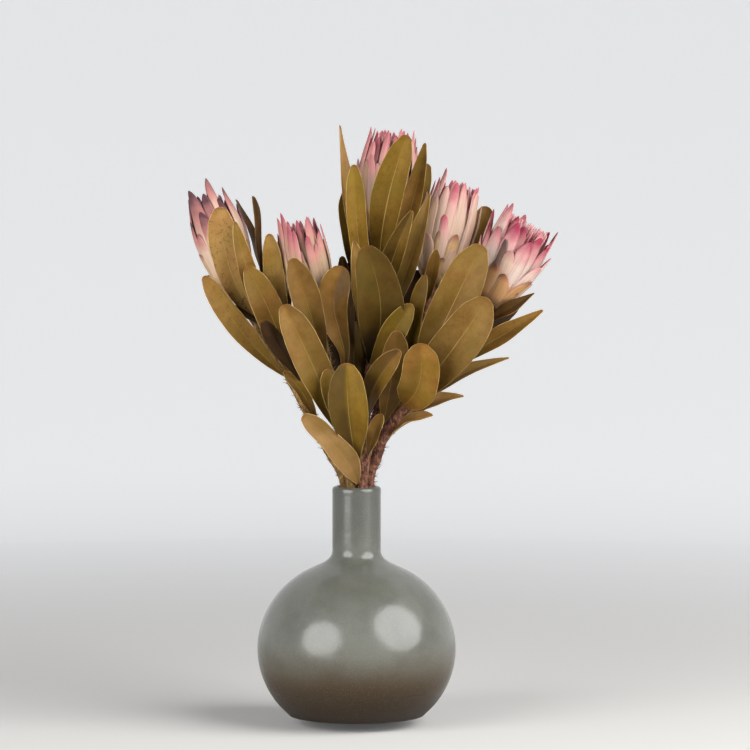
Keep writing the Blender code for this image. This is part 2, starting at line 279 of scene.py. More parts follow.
# A leaf's finish; how far its halves fold back from the midrib; how bright its left and right
# halves and how dark its foot are painted, as painted light and shade in its colour; how much
# its veins, midrib and scars show; and how much slimmer, or broader below 0, its lower half is
# than the CAD leaf's, how wide it is of it, and how far its last third is drawn out to a point.
Leaf = namedtuple(
    "Leaf", "finish fold left right base veins rib scars slim wide point",
    defaults=("olive", 0.12, 0.9, 0.9, 0.35, 0.12, 0.45, 0.1, 0.0, 1.0, 0.0),
)
# Leaves without a look of their own have both halves painted darker, as painted shade.
PLAIN_LEAF = Leaf(left=0.6, right=0.6)
# Spare leaves deep in the bunch are painted darker still, halves and foot, as painted shade.
DEEP_LEAF = Leaf("umber", 0.2, 0.5, 0.36, 0.6, 0.0, 0.2, 0.0)
LEAF_LOOKS = {
    "leaf_deep_01": Leaf("olive", 0.2, 0.72, 0.6, 0.5, 0.0, 0.2, 0.0),
    "leaf_deep_16": Leaf("khaki", 0.3, 0.8, 0.45, 0.8, 0.0, 0.3, 0.0),
    "leaf_middle_01": Leaf("olive", 0.3, 0.85, 1.0, 0.6, 0.15, 1.0, 0.3, 0.1, 0.94),
    "leaf_middle_02": Leaf("olive", 0.16, 0.46, 0.42, 1.0, 0.12, 0.9, 0.1),
    "leaf_middle_03": Leaf("tan", 0.2, 1.1, 0.9, 0.2, 0.1, 0.2, 0.2, point=0.6),
    "leaf_middle_04": Leaf("olive", 0.15, 1.15, 1.0, 0.4, 0.15, 0.3, 0.3),
    "leaf_middle_05": Leaf("khaki", 0.22, 1.0, 1.08, 0.4, 0.2, 0.5, 0.2, point=0.6),
    "leaf_middle_06": Leaf("olive", 0.3, 0.5, 0.9, 0.8, 0.2, 0.6, 0.1, point=0.5),
    "leaf_middle_07": Leaf("khaki", 0.2, 0.8, 0.75, 0.6, 0.15, 0.4, 0.1, point=0.6),
    "leaf_middle_08": Leaf("khaki", 0.2, 0.85, 0.75, 0.6, 0.1, 0.4, 0.1, point=0.7),
    "leaf_middle_09": Leaf("khaki", 0.3, 0.45, 0.85, 0.7, 0.15, 0.5, 0.1),
    "leaf_middle_10": Leaf("olive", 0.2, 0.7, 0.8, 0.5, 0.15, 0.4, 0.1),
    "leaf_middle_11": Leaf("olive", 0.2, 0.6, 0.7, 0.5, 0.1, 0.3, 0.1),
    "leaf_left_01": Leaf("khaki", 0.2, 0.82, 0.66, 0.4, 0.05, 0.4, 0.1, -0.3),
    "leaf_left_02": Leaf("khaki", 0.2, 0.8, 0.64, 0.9, 0.05, 0.2, 0.15, 0.5),
    "leaf_left_03": Leaf("khaki", 0.3, 0.9, 0.5, 0.8, 0.05, 0.3, 0.1, 0.5, 1.0, -0.2),
    "leaf_left_04": Leaf("khaki", 0.1, 0.75, 0.7, 0.4, 0.05, 0.2, 0.1),
    "leaf_right_01": Leaf("tan", 0.12, 0.82, 0.78, 0.1, 0.05, 0.12, 0.15, -0.85, 0.95, -0.5),
    "leaf_right_02": Leaf("olive", 0.42, 0.42, 1.05, 0.6, 0.05, 0.8, 0.15, 0.6, 0.95),
    "leaf_right_03": Leaf("khaki", 0.2, 0.85, 0.9, 0.3, 0.05, 0.3, 0.0),
    "leaf_right_04": Leaf("khaki", 0.15, 0.85, 0.75, 0.4, 0.05, 0.2, 0.0),
    "leaf_right_05": Leaf("khaki", 0.15, 0.6, 0.5, 0.3, 0.1, 0.2, 0.0),
    "leaf_far_left_01": Leaf("tan", 0.12, 1.1, 1.15, 0.2, 0.08, 0.3, 0.7, -0.4, 0.92, -0.3),
    "leaf_far_left_02": Leaf("khaki", 0.15, 1.0, 0.92, 0.25, 0.1, 0.2, 0.35),
    "leaf_far_left_03": Leaf("khaki", 0.18, 0.82, 0.92, 0.35, 0.12, 0.5, 0.2),
    "leaf_far_left_04": Leaf("khaki", 0.18, 0.8, 0.9, 0.55, 0.1, 0.4, 0.2, 0.0, 0.72, 0.4),
    "leaf_far_left_05": Leaf("khaki", 0.2, 0.95, 0.85, 0.5, 0.1, 0.3, 0.3),
    "leaf_far_left_06": Leaf("khaki", 0.12, 0.9, 0.85, 0.5, 0.1, 0.2, 0.4),
    "leaf_far_left_07": Leaf("umber", 0.1, 1.0, 0.9, 0.3, 0.0, 0.1, 0.0, 0.5),
    "leaf_far_left_08": Leaf("umber", 0.1, 1.1, 1.1, 0.3, 0.0, 0.1, 0.0, 0.75),
    "leaf_far_left_09": Leaf("umber", 0.1, 0.55, 0.5, 0.3, 0.0, 0.1, 0.0),
    "leaf_far_right_01": Leaf("khaki", 0.2, 0.74, 0.86, 0.7, 0.15, 0.8, 0.15),
    "leaf_far_right_02": Leaf("khaki", 0.18, 0.7, 0.82, 0.7, 0.15, 0.8, 0.25),
    "leaf_far_right_03": Leaf("khaki", 0.2, 0.9, 0.78, 0.4, 0.2, 0.3, 0.2, point=0.6),
    "leaf_far_right_04": Leaf("tan", 0.2, 0.9, 0.75, 0.3, 0.2, 0.3, 0.2, point=0.9),
    "leaf_far_right_05": Leaf("khaki", 0.14, 0.95, 1.25, 0.2, 0.1, 0.3, 0.25, 0.25, 1.0, -0.3),
    "leaf_far_right_06": Leaf("tan", 0.3, 1.1, 0.95, 0.05, 0.1, 0.2, 0.4, point=0.9),
    "leaf_far_right_07": Leaf("tan", 0.35, 0.8, 1.1, 0.1, 0.1, 0.2, 0.2, point=0.5),
    "leaf_far_right_08": Leaf("khaki", 0.2, 0.62, 0.5, 0.4, 0.1, 0.3, 0.0),
    "leaf_far_right_09": Leaf("olive", 0.2, 0.8, 0.7, 0.4, 0.1, 0.2, 0.0),
    "leaf_far_right_10": Leaf("umber", 0.15, 1.25, 0.95, 0.3, 0.1, 0.2, 0.2, point=0.9),
}

# Small leaves deep in the bunch, painted dark as painted shade to fill the gaps: root, tip, width and arch in
# mm.
SPARE_LEAVES = {
    "leaf_deep_01": ((2, 10, 262), (-7, 15, 352), 21, 3),
    "leaf_deep_02": ((7, 13, 275), (5, 17, 372), 17, 3),
    "leaf_deep_03": ((-30, 14, 292), (-40, 17, 376), 20, 3),
    "leaf_deep_04": ((-80, 8, 330), (-100, 11, 378), 14, 2),
    "leaf_deep_05": ((28, 14, 345), (37, 17, 436), 18, 3),
    "leaf_deep_06": ((34, 14, 300), (52, 17, 380), 22, 3),
    "leaf_deep_07": ((-14, 13, 262), (-28, 16, 340), 18, 2),
    "leaf_deep_08": ((-48, -24, 292), (-77, -46, 340), 15, 3),
    "leaf_deep_09": ((-66, 10, 312), (-84, 14, 366), 18, 2),
    "leaf_deep_10": ((12, 12, 330), (18, 16, 420), 18, 3),
    "leaf_deep_11": ((60, 12, 330), (82, 15, 396), 22, 3),
    "leaf_deep_12": ((22, 10, 262), (42, 12, 330), 22, 3),
    "leaf_deep_13": ((-70, -8, 331), (-107, -16, 353), 6, 1),
    "leaf_deep_14": ((78, 6, 312), (137, 8, 356), 18, 3),
    "leaf_deep_15": ((-3, 14, 302), (-4, 17, 388), 18, 2),
    "leaf_deep_16": ((-4, 2, 285), (-12, 4, 392), 14, 2),
}

LEAF_ROWS = 60  # along the blade
LEAF_COLUMNS = 17  # across it
BLADE_THICKNESS = 0.8 * MM
RIM_THICKNESS = 0.5 * MM
STALK_THICKNESS = 1.7 * MM
STALK_REACH = 2.4 * MM  # how far the stalk runs into its stem
# places across the blade from -1 to 1, closer together at its margins
LEAF_ACROSS = np.sin(np.linspace(-1, 1, LEAF_COLUMNS) * math.pi / 2)
INNER = slice(1, LEAF_COLUMNS - 1)


def blade_surface(name):
    """The middle surface of a CAD leaf as rows from root to tip, each of five places from margin
    to margin, and the two poles."""
    options = skin_rings(name, 8)
    root, rings, tip = min(options, key=lambda o: np.ptp(o[1][0], axis=0).sum())
    rows = []
    for ring in rings:
        spans = [np.linalg.norm(ring[i] - ring[(i + 4) % 8]) for i in range(4)]
        i = int(np.argmax(spans))
        order = [ring[(i + k) % 8] for k in range(8)]
        row = [order[0]] + [(order[k] + order[8 - k]) / 2 for k in (1, 2, 3)] + [order[4]]
        row = np.array(row)
        if rows and np.dot(row[-1] - row[0], rows[-1][-1] - rows[-1][0]) < 0:
            row = row[::-1]
        rows.append(row)
    rows = np.array(rows)
    facing = np.cross(rows[4, -1] - rows[4, 0], tip - root)
    if np.dot(facing, FRONT) < 0:
        rows = rows[:, ::-1]
    return root, rows, tip


# A spare leaf's outline: how far along it each row of places is, and its half width there.
SPARE_OUTLINE = (
    (0, 0.2), (0.08, 0.3), (0.2, 0.5), (0.34, 0.75), (0.5, 0.94), (0.66, 1),
    (0.8, 0.92), (0.91, 0.7), (0.975, 0.42),
)
FIVE_ACROSS = np.array([-1, -0.5, 0, 0.5, 1])


def spare_surface(root, tip, width, arch):
    """The middle surface, as blade_surface gives it, of a leaf that only fills the bunch."""
    root, tip = np.array(root) * MM, np.array(tip) * MM
    across = unit(np.cross(tip - root, FRONT))
    normal = np.cross(across, unit(tip - root))
    rows = []
    for s, half in SPARE_OUTLINE:
        centre = root + (tip - root) * s + normal * arch * MM * math.sin(math.pi * s)
        rows.append([
            centre + across * t * half * width / 2 * MM - normal * abs(t) * half * 1.5 * MM
            for t in FIVE_ACROSS
        ])
    return root, np.array(rows), tip


def with_stalk(rows):
    """The rows with one more in front, where the leaf's stalk runs into its stem, how far along
    the blade each row is, and the stalk's end."""
    middle = rows[:, 2]
    back = middle[0] - unit(middle[1] - middle[0]) * (STALK_REACH + 0.5 * MM)
    stalk = rows[0] * 0.55 + middle[0] * 0.45 + (back - middle[0])
    rows = np.concatenate([[stalk], rows])
    steps = np.linalg.norm(np.diff(rows[:, 2], axis=0), axis=1)
    return rows, np.concatenate([[0], np.cumsum(steps)]), back


def trimmed(rows, knots, look):
    """The rows made as wide as the leaf's look says."""
    centre = rows[:, 2:3]
    reach = knots / knots[-1]
    slimness = 1 - look.slim * np.clip(1 - reach / 0.65, 0, 1)
    sharpness = 1 - 0.7 * look.point * np.clip((reach - 0.66) / 0.34, 0, 1) ** 1.2
    return centre + (rows - centre) * (look.wide * slimness * sharpness)[:, None, None]


# The last fine rows, as shares of the way from the last CAD row to the tip.
ROUNDED_END = np.array([0.2, 0.4, 0.58, 0.73, 0.85, 0.93, 0.975, 0.995])


def fine_blade(rows, knots, tip):
    """A fine grid over the rows with a rounded end, how far each of its rows is along the blade
    and how wide half of it is there, and the blade's whole length."""
    length = knots[-1] + np.linalg.norm(tip - rows[-1, 2])
    body = np.linspace(0, knots[-1], LEAF_ROWS - len(ROUNDED_END))
    along = np.concatenate([body, knots[-1] + (length - knots[-1]) * ROUNDED_END])
    last = rows[-1]
    ends = []
    for place in along[len(body):]:
        share = (place - knots[-1]) / (length - knots[-1])
        centre = last[2] + (tip - last[2]) * share
        ends.append(centre + (last - last[2]) * math.sqrt(1 - share**1.5))
    five_wide = np.concatenate([hermite(knots, rows, body), np.array(ends)])
    # across the blade, the five places of a row are joined by the quartic through them
    v, five = LEAF_ACROSS, FIVE_ACROSS
    weights = np.array(
        [np.prod([(v - five[j]) / (five[i] - five[j]) for j in range(5) if j != i], axis=0) for i in range(5)]
    ).T
    half = np.linalg.norm(five_wide[:, -1] - five_wide[:, 0], axis=1) / 2
    return np.einsum("cf,rfx->rcx", weights, five_wide), along, half, length


def dried_out(surface, u, half, look, chance):
    """The grid as a dried blade, which is never flat: uneven halves folded back from the midrib,
    long waves along the margins and a slow warp. Also its normals before that."""
    v, mid = LEAF_ACROSS[None, :], LEAF_COLUMNS // 2
    u = u[:, None]
    normal = unit(np.cross(np.gradient(surface, axis=1), np.gradient(surface, axis=0)))
    right = v > 0
    phase = [chance.uniform(0, math.tau) for _ in range(5)]
    waves = chance.uniform(1.4, 2.6)
    swing = np.sin(math.tau * waves * u + np.where(right, phase[0], phase[1]))
    fade = np.sin(math.pi * np.clip(u, 0, 1)) ** 0.7
    uneven = 0.05 * np.sin(math.tau * 1.3 * u + np.where(right, phase[3], phase[4])) * fade
    midline = surface[:, mid][:, None]
    surface = midline + (surface - midline) * (1 + uneven - 0.02)[..., None]
    wave = swing * v**2 * chance.uniform(0.6, 1.5) * MM * fade
    warp = np.sin(math.tau * u * 0.9 + phase[2]) * v * 0.9 * MM * fade
    facing = normal[:, mid][:, None]
    # the fold goes the way that the CAD leaf is already cupped over its middle
    rise = ((surface[:, 0] + surface[:, -1]) / 2 - surface[:, mid])[12:45]
    trend = 1 if (rise * facing[12:45, 0]).sum() > 0 else -1
    soft = np.sqrt(v**2 + 0.02) - 0.14
    fold = trend * (look.fold + chance.uniform(-0.05, 0.05)) * soft * half[:, None] * fade
    return surface + facing * (wave + warp + fold)[..., None], normal


def blade_shell(surface, normal, u, across, ends):
    """The grid as a closed shell: thinner to its margins, with a midrib raised underneath, and
    run together at both ends. Gives its places and faces."""
    v = LEAF_ACROSS[None, :]
    rib = np.exp(-((across / (0.55 * MM)) ** 2)) * np.clip(1.15 - u, 0, 1)[:, None]
    stalkness = np.clip(1 - u / 0.1, 0, 1)[:, None] ** 2
    thick = RIM_THICKNESS + (BLADE_THICKNESS - RIM_THICKNESS) * (1 - v**4)
    thick = thick + (STALK_THICKNESS - BLADE_THICKNESS) * stalkness
    rim = np.clip((np.abs(v) - 0.93) / 0.07, 0, 1)
    top = surface + normal * (thick / 2 * (1 - rim**2) - 0.18 * MM * rib * (1 - stalkness))[..., None]
    under = surface - normal * (thick / 2 * (1 - rim**2) + 0.45 * MM * rib)[..., None]
    rows, columns = across.shape
    places = np.concatenate([top.reshape(-1, 3), under[:, INNER].reshape(-1, 3), ends])
    # the underside shares the margins with the top side
    upper = np.arange(rows * columns).reshape(rows, columns)
    lower = upper.copy()
    lower[:, INNER] = rows * columns + np.arange(rows * (columns - 2)).reshape(rows, -1)
    tip_at, back_at = len(places) - 2, len(places) - 1
    faces = [tuple(reversed(f)) for f in grid_faces(rows, columns)]
    for i in range(rows - 1):
        for j in range(columns - 1):
            faces.append((lower[i, j], lower[i, j + 1], lower[i + 1, j + 1], lower[i + 1, j]))
    for j in range(columns - 1):
        faces.append((upper[-1, j], tip_at, upper[-1, j + 1]))
        faces.append((lower[-1, j], lower[-1, j + 1], tip_at))
        faces.append((upper[0, j], upper[0, j + 1], back_at))
        faces.append((lower[0, j + 1], lower[0, j], back_at))
    return places, [tuple(int(i) for i in f) for f in faces]


def on_shell(top, tip, back, under=None):
    """A value for each vertex of the shell, from its grids and its two ends."""
    under = top if under is None else under
    return np.concatenate([top.ravel(), under[:, INNER].ravel(), [tip, back]])


def make_leaf(name, finishes, spare=None):
    """A fine thin blade on the CAD leaf's middle surface, with its stalk run into the stem."""
    chance = random.Random(name)
    _, rows, tip = spare_surface(*spare) if spare else blade_surface(name)
    look = LEAF_LOOKS.get(name, DEEP_LEAF if spare else PLAIN_LEAF)
    rows, knots, back = with_stalk(rows)
    surface, along, half, length = fine_blade(trimmed(rows, knots, look), knots, tip)
    u = along / length
    surface, normal = dried_out(surface, u, half, look, chance)
    across = LEAF_ACROSS[None, :] * half[:, None]
    places, faces = blade_shell(surface, normal, u, across, [tip, back])

    along_mm = np.broadcast_to(along[:, None] / MM, across.shape)
    uv = np.stack([on_shell(across / MM, 0, 0), on_shell(along_mm, length / MM, 0)], -1)
    piece = mesh_object(f"blade_{name[5:]}", places, faces, finishes[look.finish], uv)
    # painted light and shade: the blade's left and right halves are painted brighter or darker across the
    # fold, and its foot darker; the field lit carries this to the colour
    turn = np.clip(0.5 + LEAF_ACROSS / 0.3, 0, 1)[None, :]
    deep = 1 - look.base * np.clip(1.08 - u / 0.68, 0, 1)[:, None] ** 1.2
    lit = (look.left + (look.right - look.left) * turn) * deep
    edge = (half[:, None] - np.abs(across)) / MM
    store_field(piece.data, "edge_mm", on_shell(edge, 0, 1))
    store_field(piece.data, "along", on_shell(np.broadcast_to(u[:, None], across.shape), 1, 0))
    store_field(piece.data, "tone", np.full(len(places), chance.random()))
    # the underside carries the same painted shade, a tenth darker
    store_field(piece.data, "lit", on_shell(lit, look.left, look.left, under=lit * 0.9))
    for key in ("veins", "rib", "scars"):
        store_field(piece.data, key, np.full(len(places), getattr(look, key)))
    outward_normals(piece.data)
    if not spare:
        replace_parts(piece, name)
    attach(piece, "root")


def dried_leaf(name, dark, middle, light, fresh, rim):
    """Leathery evergreen leaf, air-dried: a thin cutin skin over browned tissue, so it is satin,
    not glossy, with a pale horny margin, a fine pale midrib and dark scars of age."""
    made, tree, shader = new_material(name, IOR=1.45, Specular_IOR_Level=0.16)
    place = add(tree, PLACE).outputs["Object"]
    surface = add(tree, SPLIT, {0: add(tree, PLACE).outputs["UV"]})
    off_rib = add(tree, MATH, {0: surface.outputs[0]}, operation="ABSOLUTE")
    edge, share, tone, lit, veins, ribs, scars = (
        add(tree, FIELD, attribute_name=key).outputs["Fac"]
        for key in ("edge_mm", "along", "tone", "lit", "veins", "rib", "scars")
    )
    # slow mottling in patches of 15 mm over a cloud of 3 mm
    patches = add(tree, NOISE, {"Vector": place, "Scale": 65.0, "Detail": 5.0, "Roughness": 0.62})
    mottle = add(tree, MATH, {0: tone, 1: 0.3, 2: patches}, operation="MULTIPLY_ADD")
    colour = add(tree, STOPS, {0: mottle}, [(0.36, dark), (0.62, middle), (0.9, light)])
    # greener where the blade dried fastest
    dry = add(tree, NOISE, {"Vector": place, "Scale": 34.0, "Detail": 3.0})
    green = add(tree, RANGE, {0: dry, 1: 0.42, 2: 0.66, 3: 0.0, 4: 0.45}, **SMOOTH)
    colour = add(tree, MIX, {0: green, 6: colour, 7: linear(fresh)}, data_type="RGBA")
    # side veins leave the midrib every 8 mm and bend towards the tip
    stray = add(tree, NOISE, {"Vector": place, "Scale": 90.0, "Detail": 2.0})
    lag = add(tree, MATH, {0: off_rib, 1: -1.3, 2: surface.outputs[1]}, operation="MULTIPLY_ADD")
    run = add(tree, MATH, {0: stray, 1: 16.0, 2: lag}, operation="MULTIPLY_ADD")
    between = add(tree, MATH, {0: run, 1: 3.8}, operation="PINGPONG")
    line = add(tree, RANGE, {0: between, 1: 0.0, 2: 0.5, 3: 0.25, 4: 0.0}, **SMOOTH)
    vein = add(tree, MATH, {0: line, 1: veins}, operation="MULTIPLY")
    # the midrib is 1.2 mm wide at the stalk and fades towards the tip
    reach = add(tree, RANGE, {0: share, 1: 0.0, 2: 1.0, 3: 0.65, 4: 0.25})
    fade = add(tree, RANGE, {0: share, 1: 0.5, 2: 0.98, 3: 0.9, 4: 0.1}, **SMOOTH)
    core = add(tree, RANGE, {0: off_rib, 1: 0.0, 2: reach, 3: fade, 4: 0.0}, **SMOOTH)
    rib = add(tree, MATH, {0: core, 1: ribs}, operation="MULTIPLY")
    # the horny margin is 0.4 mm wide and worn away in places
    worn = add(tree, RANGE, {0: stray, 1: 0.38, 2: 0.6, 3: 0.3, 4: 0.8}, **SMOOTH)
    margin = add(tree, RANGE, {0: edge, 1: 0.12, 2: 0.55, 3: worn, 4: 0.0}, **SMOOTH)
    # a browned band runs behind the margin
    patchy = add(tree, RANGE, {0: patches, 1: 0.4, 2: 0.6, 3: 0.05, 4: 0.35}, **SMOOTH)
    browned = add(tree, RANGE, {0: edge, 1: 0.5, 2: 3.0, 3: patchy, 4: 0.0}, **SMOOTH)
    colour = add(tree, MIX, {0: browned, 6: colour, 7: linear(dark)}, data_type="RGBA")
    # painted light and shade: the colour goes towards near-black where lit is below 1, and brighter where it
    # is above 1
    colour = add(tree, MIX, {0: lit, 6: linear("#120902"), 7: colour}, data_type="RGBA", clamp_factor=False)
    lines = add(tree, MATH, {0: rib, 1: margin}, operation="MAXIMUM")
    lines = add(tree, MATH, {0: lines, 1: vein}, operation="MAXIMUM")
    # the pale lines fade in the painted shade too
    shown = add(tree, RANGE, {0: lit, 1: 0.2, 2: 0.9, 3: 0.3, 4: 1.0}, **SMOOTH)
    paling = add(tree, MATH, {0: lines, 1: shown}, operation="MULTIPLY")
    colour = add(tree, MIX, {0: paling, 6: colour, 7: linear(rim)}, data_type="RGBA")
    # the tip ends in a reddish callous point
    point = add(tree, RANGE, {0: share, 1: 0.965, 2: 0.998, 3: 0.0, 4: 0.6}, **SMOOTH)
    colour = add(tree, MIX, {0: point, 6: colour, 7: linear("#6A3E16")}, data_type="RGBA")
    # scars: broken wavy dashes 0.3 mm thick, and specks of 0.5 to 1 mm in loose groups
    bend = add(tree, NOISE, {"Vector": place, "Scale": 160.0, "Detail": 2.0}).outputs["Color"]
    bent = add(tree, MIX, {0: 0.012, 4: place, 5: bend}, data_type="VECTOR")
    walls = add(tree, CELLS, {"Vector": bent, "Scale": 170.0}, feature="DISTANCE_TO_EDGE")
    broken = add(tree, NOISE, {"Vector": place, "Scale": 240.0, "Detail": 1.0})
    kept = add(tree, RANGE, {0: broken, 1: 0.5, 2: 0.6, 3: 0.0, 4: 1.0}, **SMOOTH)
    dash = add(tree, RANGE, {0: walls, 1: 0.012, 2: 0.045, 3: kept, 4: 0.0}, **SMOOTH)
    spots = add(tree, CELLS, {"Vector": place, "Scale": 330.0})
    group = add(tree, RANGE, {0: stray, 1: 0.45, 2: 0.7, 3: 0.05, 4: 0.26}, **SMOOTH)
    speck = add(tree, MATH, {0: spots, 1: group}, operation="LESS_THAN")
    marks = add(tree, MATH, {0: dash, 1: speck}, operation="MAXIMUM")
    scar = add(tree, MATH, {0: marks, 1: scars}, operation="MULTIPLY")
    colour = add(tree, MIX, {0: scar, 6: colour, 7: linear("#35200E")}, data_type="RGBA")
    sheen = add(tree, RANGE, {0: patches, 1: 0.3, 2: 0.75, 3: 0.42, 4: 0.6})
    # leathery grain of 0.5 mm
    grain = add(tree, NOISE, {"Vector": place, "Scale": 1400.0, "Detail": 2.0})
    rough = add(tree, MATH, {0: grain, 1: 0.3, 2: patches}, operation="MULTIPLY_ADD")
    pitted = add(tree, MATH, {0: rough, 1: scar}, operation="SUBTRACT")
    height = add(tree, MATH, {0: pitted, 1: vein}, operation="SUBTRACT")
    bump = add(tree, BUMP, {"Height": height, "Strength": 0.6, "Distance": 0.25 * MM})
    finish_with(tree, shader, Base_Color=colour, Roughness=sheen, Normal=bump)
    return made


# ---------------------------------------------------------------- flower heads


def head_frame(name):
    """A head's own axes as a matrix, with -Y to the front, its length, and its outer radius at
    heights from the base."""
    options = skin_rings(f"head_{name}_bracts", 24)
    stem_top = max((v.co for v in CAD[f"stem_{name}"].data.vertices), key=lambda p: p.z)
    _, rings, _ = min(options, key=lambda o: np.linalg.norm(o[0] - np.array(stem_top)))
    base = rings[0].mean(0)
    axis = unit(rings[3].mean(0) - base)
    heights, radii = [], []
    for ring in rings[:4]:
        heights.append(float(np.dot(ring.mean(0) - base, axis)))
        radii.append(float(np.linalg.norm(ring - ring.mean(0), axis=1).mean()))
    rim = rings[4] - base
    reach = rim @ axis
    length = float(reach.max())
    tips = rim[reach > length - 1 * MM]
    heights.append(length)
    radii.append(float(np.linalg.norm(tips - np.outer(tips @ axis, axis), axis=1).mean()))
    behind = unit(np.dot(FRONT, axis) * axis - FRONT)
    turn = Matrix(np.stack([np.cross(behind, axis), behind, axis], 1).tolist()).to_4x4()
    return Matrix.Translation(Vector(base)) @ turn, length, np.array(heights), np.array(radii)


BRACT_ROWS = 14
BRACT_COLUMNS = 7
BRACT_THICKNESS = 0.5 * MM

# A row of bracts: the height of their feet and tips as shares of the head's length, their width
# in mm, their lift off the cup and their tips' flare in mm.
Row = namedtuple("Row", "foot tip width lift flare")


def bract_mesh(name, heights, radii, row, blunt, curl=0.0):
    """One thin bract that lies on the head's cup, with its middle over the -Y axis."""
    length = heights[-1]
    u = 1 - (1 - np.linspace(0, 1, BRACT_ROWS)) ** 1.4
    v = np.linspace(-1, 1, BRACT_COLUMNS)
    swell = 0.55 + 0.45 * np.sin(math.pi / 2 * np.minimum(1, u / 0.55))
    close = np.maximum(0, (u - 0.55) / 0.45)
    half = row.width * MM * 0.6 * swell * (1 - close**blunt) ** 0.6
    half[-1] = row.width * MM * 0.04
    height = (row.foot + (row.tip - row.foot) * u) * length
    radius = hermite(heights, radii, np.clip(height, 0, length))
    radius = radius + (row.lift * np.minimum(1, u * 4) + row.flare * u**3) * MM
    angle = v[None, :] * (half / radius)[:, None] + (curl * u**2)[:, None]
    keel = 0.3 * v[None, :] ** 2 * half[:, None] * np.linspace(0.2, 1.0, BRACT_ROWS)[:, None]
    r = radius[:, None] - keel
    sheet = np.stack([r * np.sin(angle), -r * np.cos(angle), np.broadcast_to(height[:, None], r.shape)], -1)
    normal = unit(np.cross(np.gradient(sheet, axis=1), np.gradient(sheet, axis=0)))
    thick = BRACT_THICKNESS / 2 * (1 - 0.55 * np.abs(v))[None, :, None]
    places = np.concatenate([(sheet + way * normal * thick).reshape(-1, 3) for way in (1, -1)])
    n = BRACT_ROWS * BRACT_COLUMNS
    faces = grid_faces(BRACT_ROWS, BRACT_COLUMNS)
    faces += [tuple(reversed(f)) for f in grid_faces(BRACT_ROWS, BRACT_COLUMNS, n)]
    ring = list(range(BRACT_COLUMNS))
    ring += [i * BRACT_COLUMNS + BRACT_COLUMNS - 1 for i in range(1, BRACT_ROWS)]
    ring += [(BRACT_ROWS - 1) * BRACT_COLUMNS + j for j in reversed(range(BRACT_COLUMNS - 1))]
    ring += [i * BRACT_COLUMNS for i in reversed(range(1, BRACT_ROWS - 1))]
    faces += [(b, a, a + n, b + n) for a, b in zip(ring, ring[1:] + ring[:1])]
    uv = np.stack(np.broadcast_arrays(v[None, :], u[:, None]), -1).reshape(-1, 2)
    mesh = smooth_mesh(name, places, faces, np.concatenate([uv, uv]))
    outward_normals(mesh)
    return mesh


def spiral_tree():
    """Geometry Nodes: rows of prototypes set round the Z axis in a golden-angle spiral."""
    tree, given = new_tree(
        "bract_spiral", ("Rows", "Collection", None), ("Count", "Int", 72), ("Each Row", "Int", 8),
        ("Turn", "Float", GOLDEN_ANGLE), ("Lean", "Float", 0.03), ("Uneven", "Float", 0.05),
        ("Seed", "Int", 1), ("Material", "Material", None),
    )
    line = add(tree, "GeometryNodeMeshLine", {"Count": given["Count"], "Offset": (0, 0, 0)})
    number = add(tree, "GeometryNodeInputIndex")
    row = add(tree, MATH, {0: number, 1: given["Each Row"]}, operation="DIVIDE")
    row = add(tree, MATH, {0: row}, operation="FLOOR")
    turn = add(tree, MATH, {0: number, 1: given["Turn"]}, operation="MULTIPLY")
    minus = add(tree, MATH, {0: given["Lean"], 1: -1.0}, operation="MULTIPLY")
    lean = []
    for i in range(3):
        seed = add(tree, MATH, {0: given["Seed"], 1: i * 17.0}, operation="ADD")
        lean.append(add(tree, RANDOM, {2: minus, 3: given["Lean"], "ID": number, "Seed": seed}).outputs[1])
    twist = add(tree, MATH, {0: lean[2], 1: 2.5}, operation="MULTIPLY")
    spin = add(tree, MATH, {0: turn, 1: twist}, operation="ADD")
    rotation = add(tree, JOIN, {0: lean[0], 1: lean[1], 2: spin})
    low = add(tree, MATH, {0: 1.0, 1: given["Uneven"]}, operation="SUBTRACT")
    size = add(tree, RANDOM, {2: low, 3: 1.0, "ID": number, "Seed": given["Seed"]})
    scale = add(tree, JOIN, {0: 1.0, 1: 1.0, 2: size.outputs[1]})
    rows = add(tree, "GeometryNodeCollectionInfo", {
        "Collection": given["Rows"], "Separate Children": True, "Reset Children": True})
    placed = add(tree, ON_POINTS, {
        "Points": line, "Instance": rows, "Pick Instance": True, "Instance Index": row,
        "Rotation": rotation, "Scale": scale})
    seed = add(tree, MATH, {0: given["Seed"], 1: 91.0}, operation="ADD")
    tone = add(tree, RANDOM, {2: 0.0, 3: 1.0, "ID": number, "Seed": seed}).outputs[1]
    toned = add(tree, KEEP_FIELD, {"Geometry": placed, "Name": "tone", "Value": tone}, domain="INSTANCE")
    share = add(tree, MATH, {0: number, 1: given["Count"]}, operation="DIVIDE")
    ranked = add(tree, KEEP_FIELD, {"Geometry": toned, "Name": "rank", "Value": share}, domain="INSTANCE")
    real = add(tree, REALIZE, {"Geometry": ranked})
    done = add(tree, SET_MATERIAL, {"Geometry": real, "Material": given["Material"]})
    add(tree, "NodeGroupOutput", {0: done})
    return tree


def run_tree(name, tree, values, start=None):
    """The plain mesh that a Geometry Nodes tree makes from its named inputs."""
    holder = linked_object(name, start or bpy.data.meshes.new(name))
    modifier = holder.modifiers.new("build", "NODES")
    modifier.node_group = tree
    for item in tree.interface.items_tree:
        if item.item_type == "SOCKET" and item.in_out == "INPUT" and item.name in values:
            modifier[item.identifier] = values[item.name]
    bpy.context.view_layer.update()
    graph = bpy.context.evaluated_depsgraph_get()
    mesh = bpy.data.meshes.new_from_object(holder.evaluated_get(graph), depsgraph=graph)
    mesh.name = name
    holder.modifiers.clear()
    bpy.data.objects.remove(holder)
    return mesh


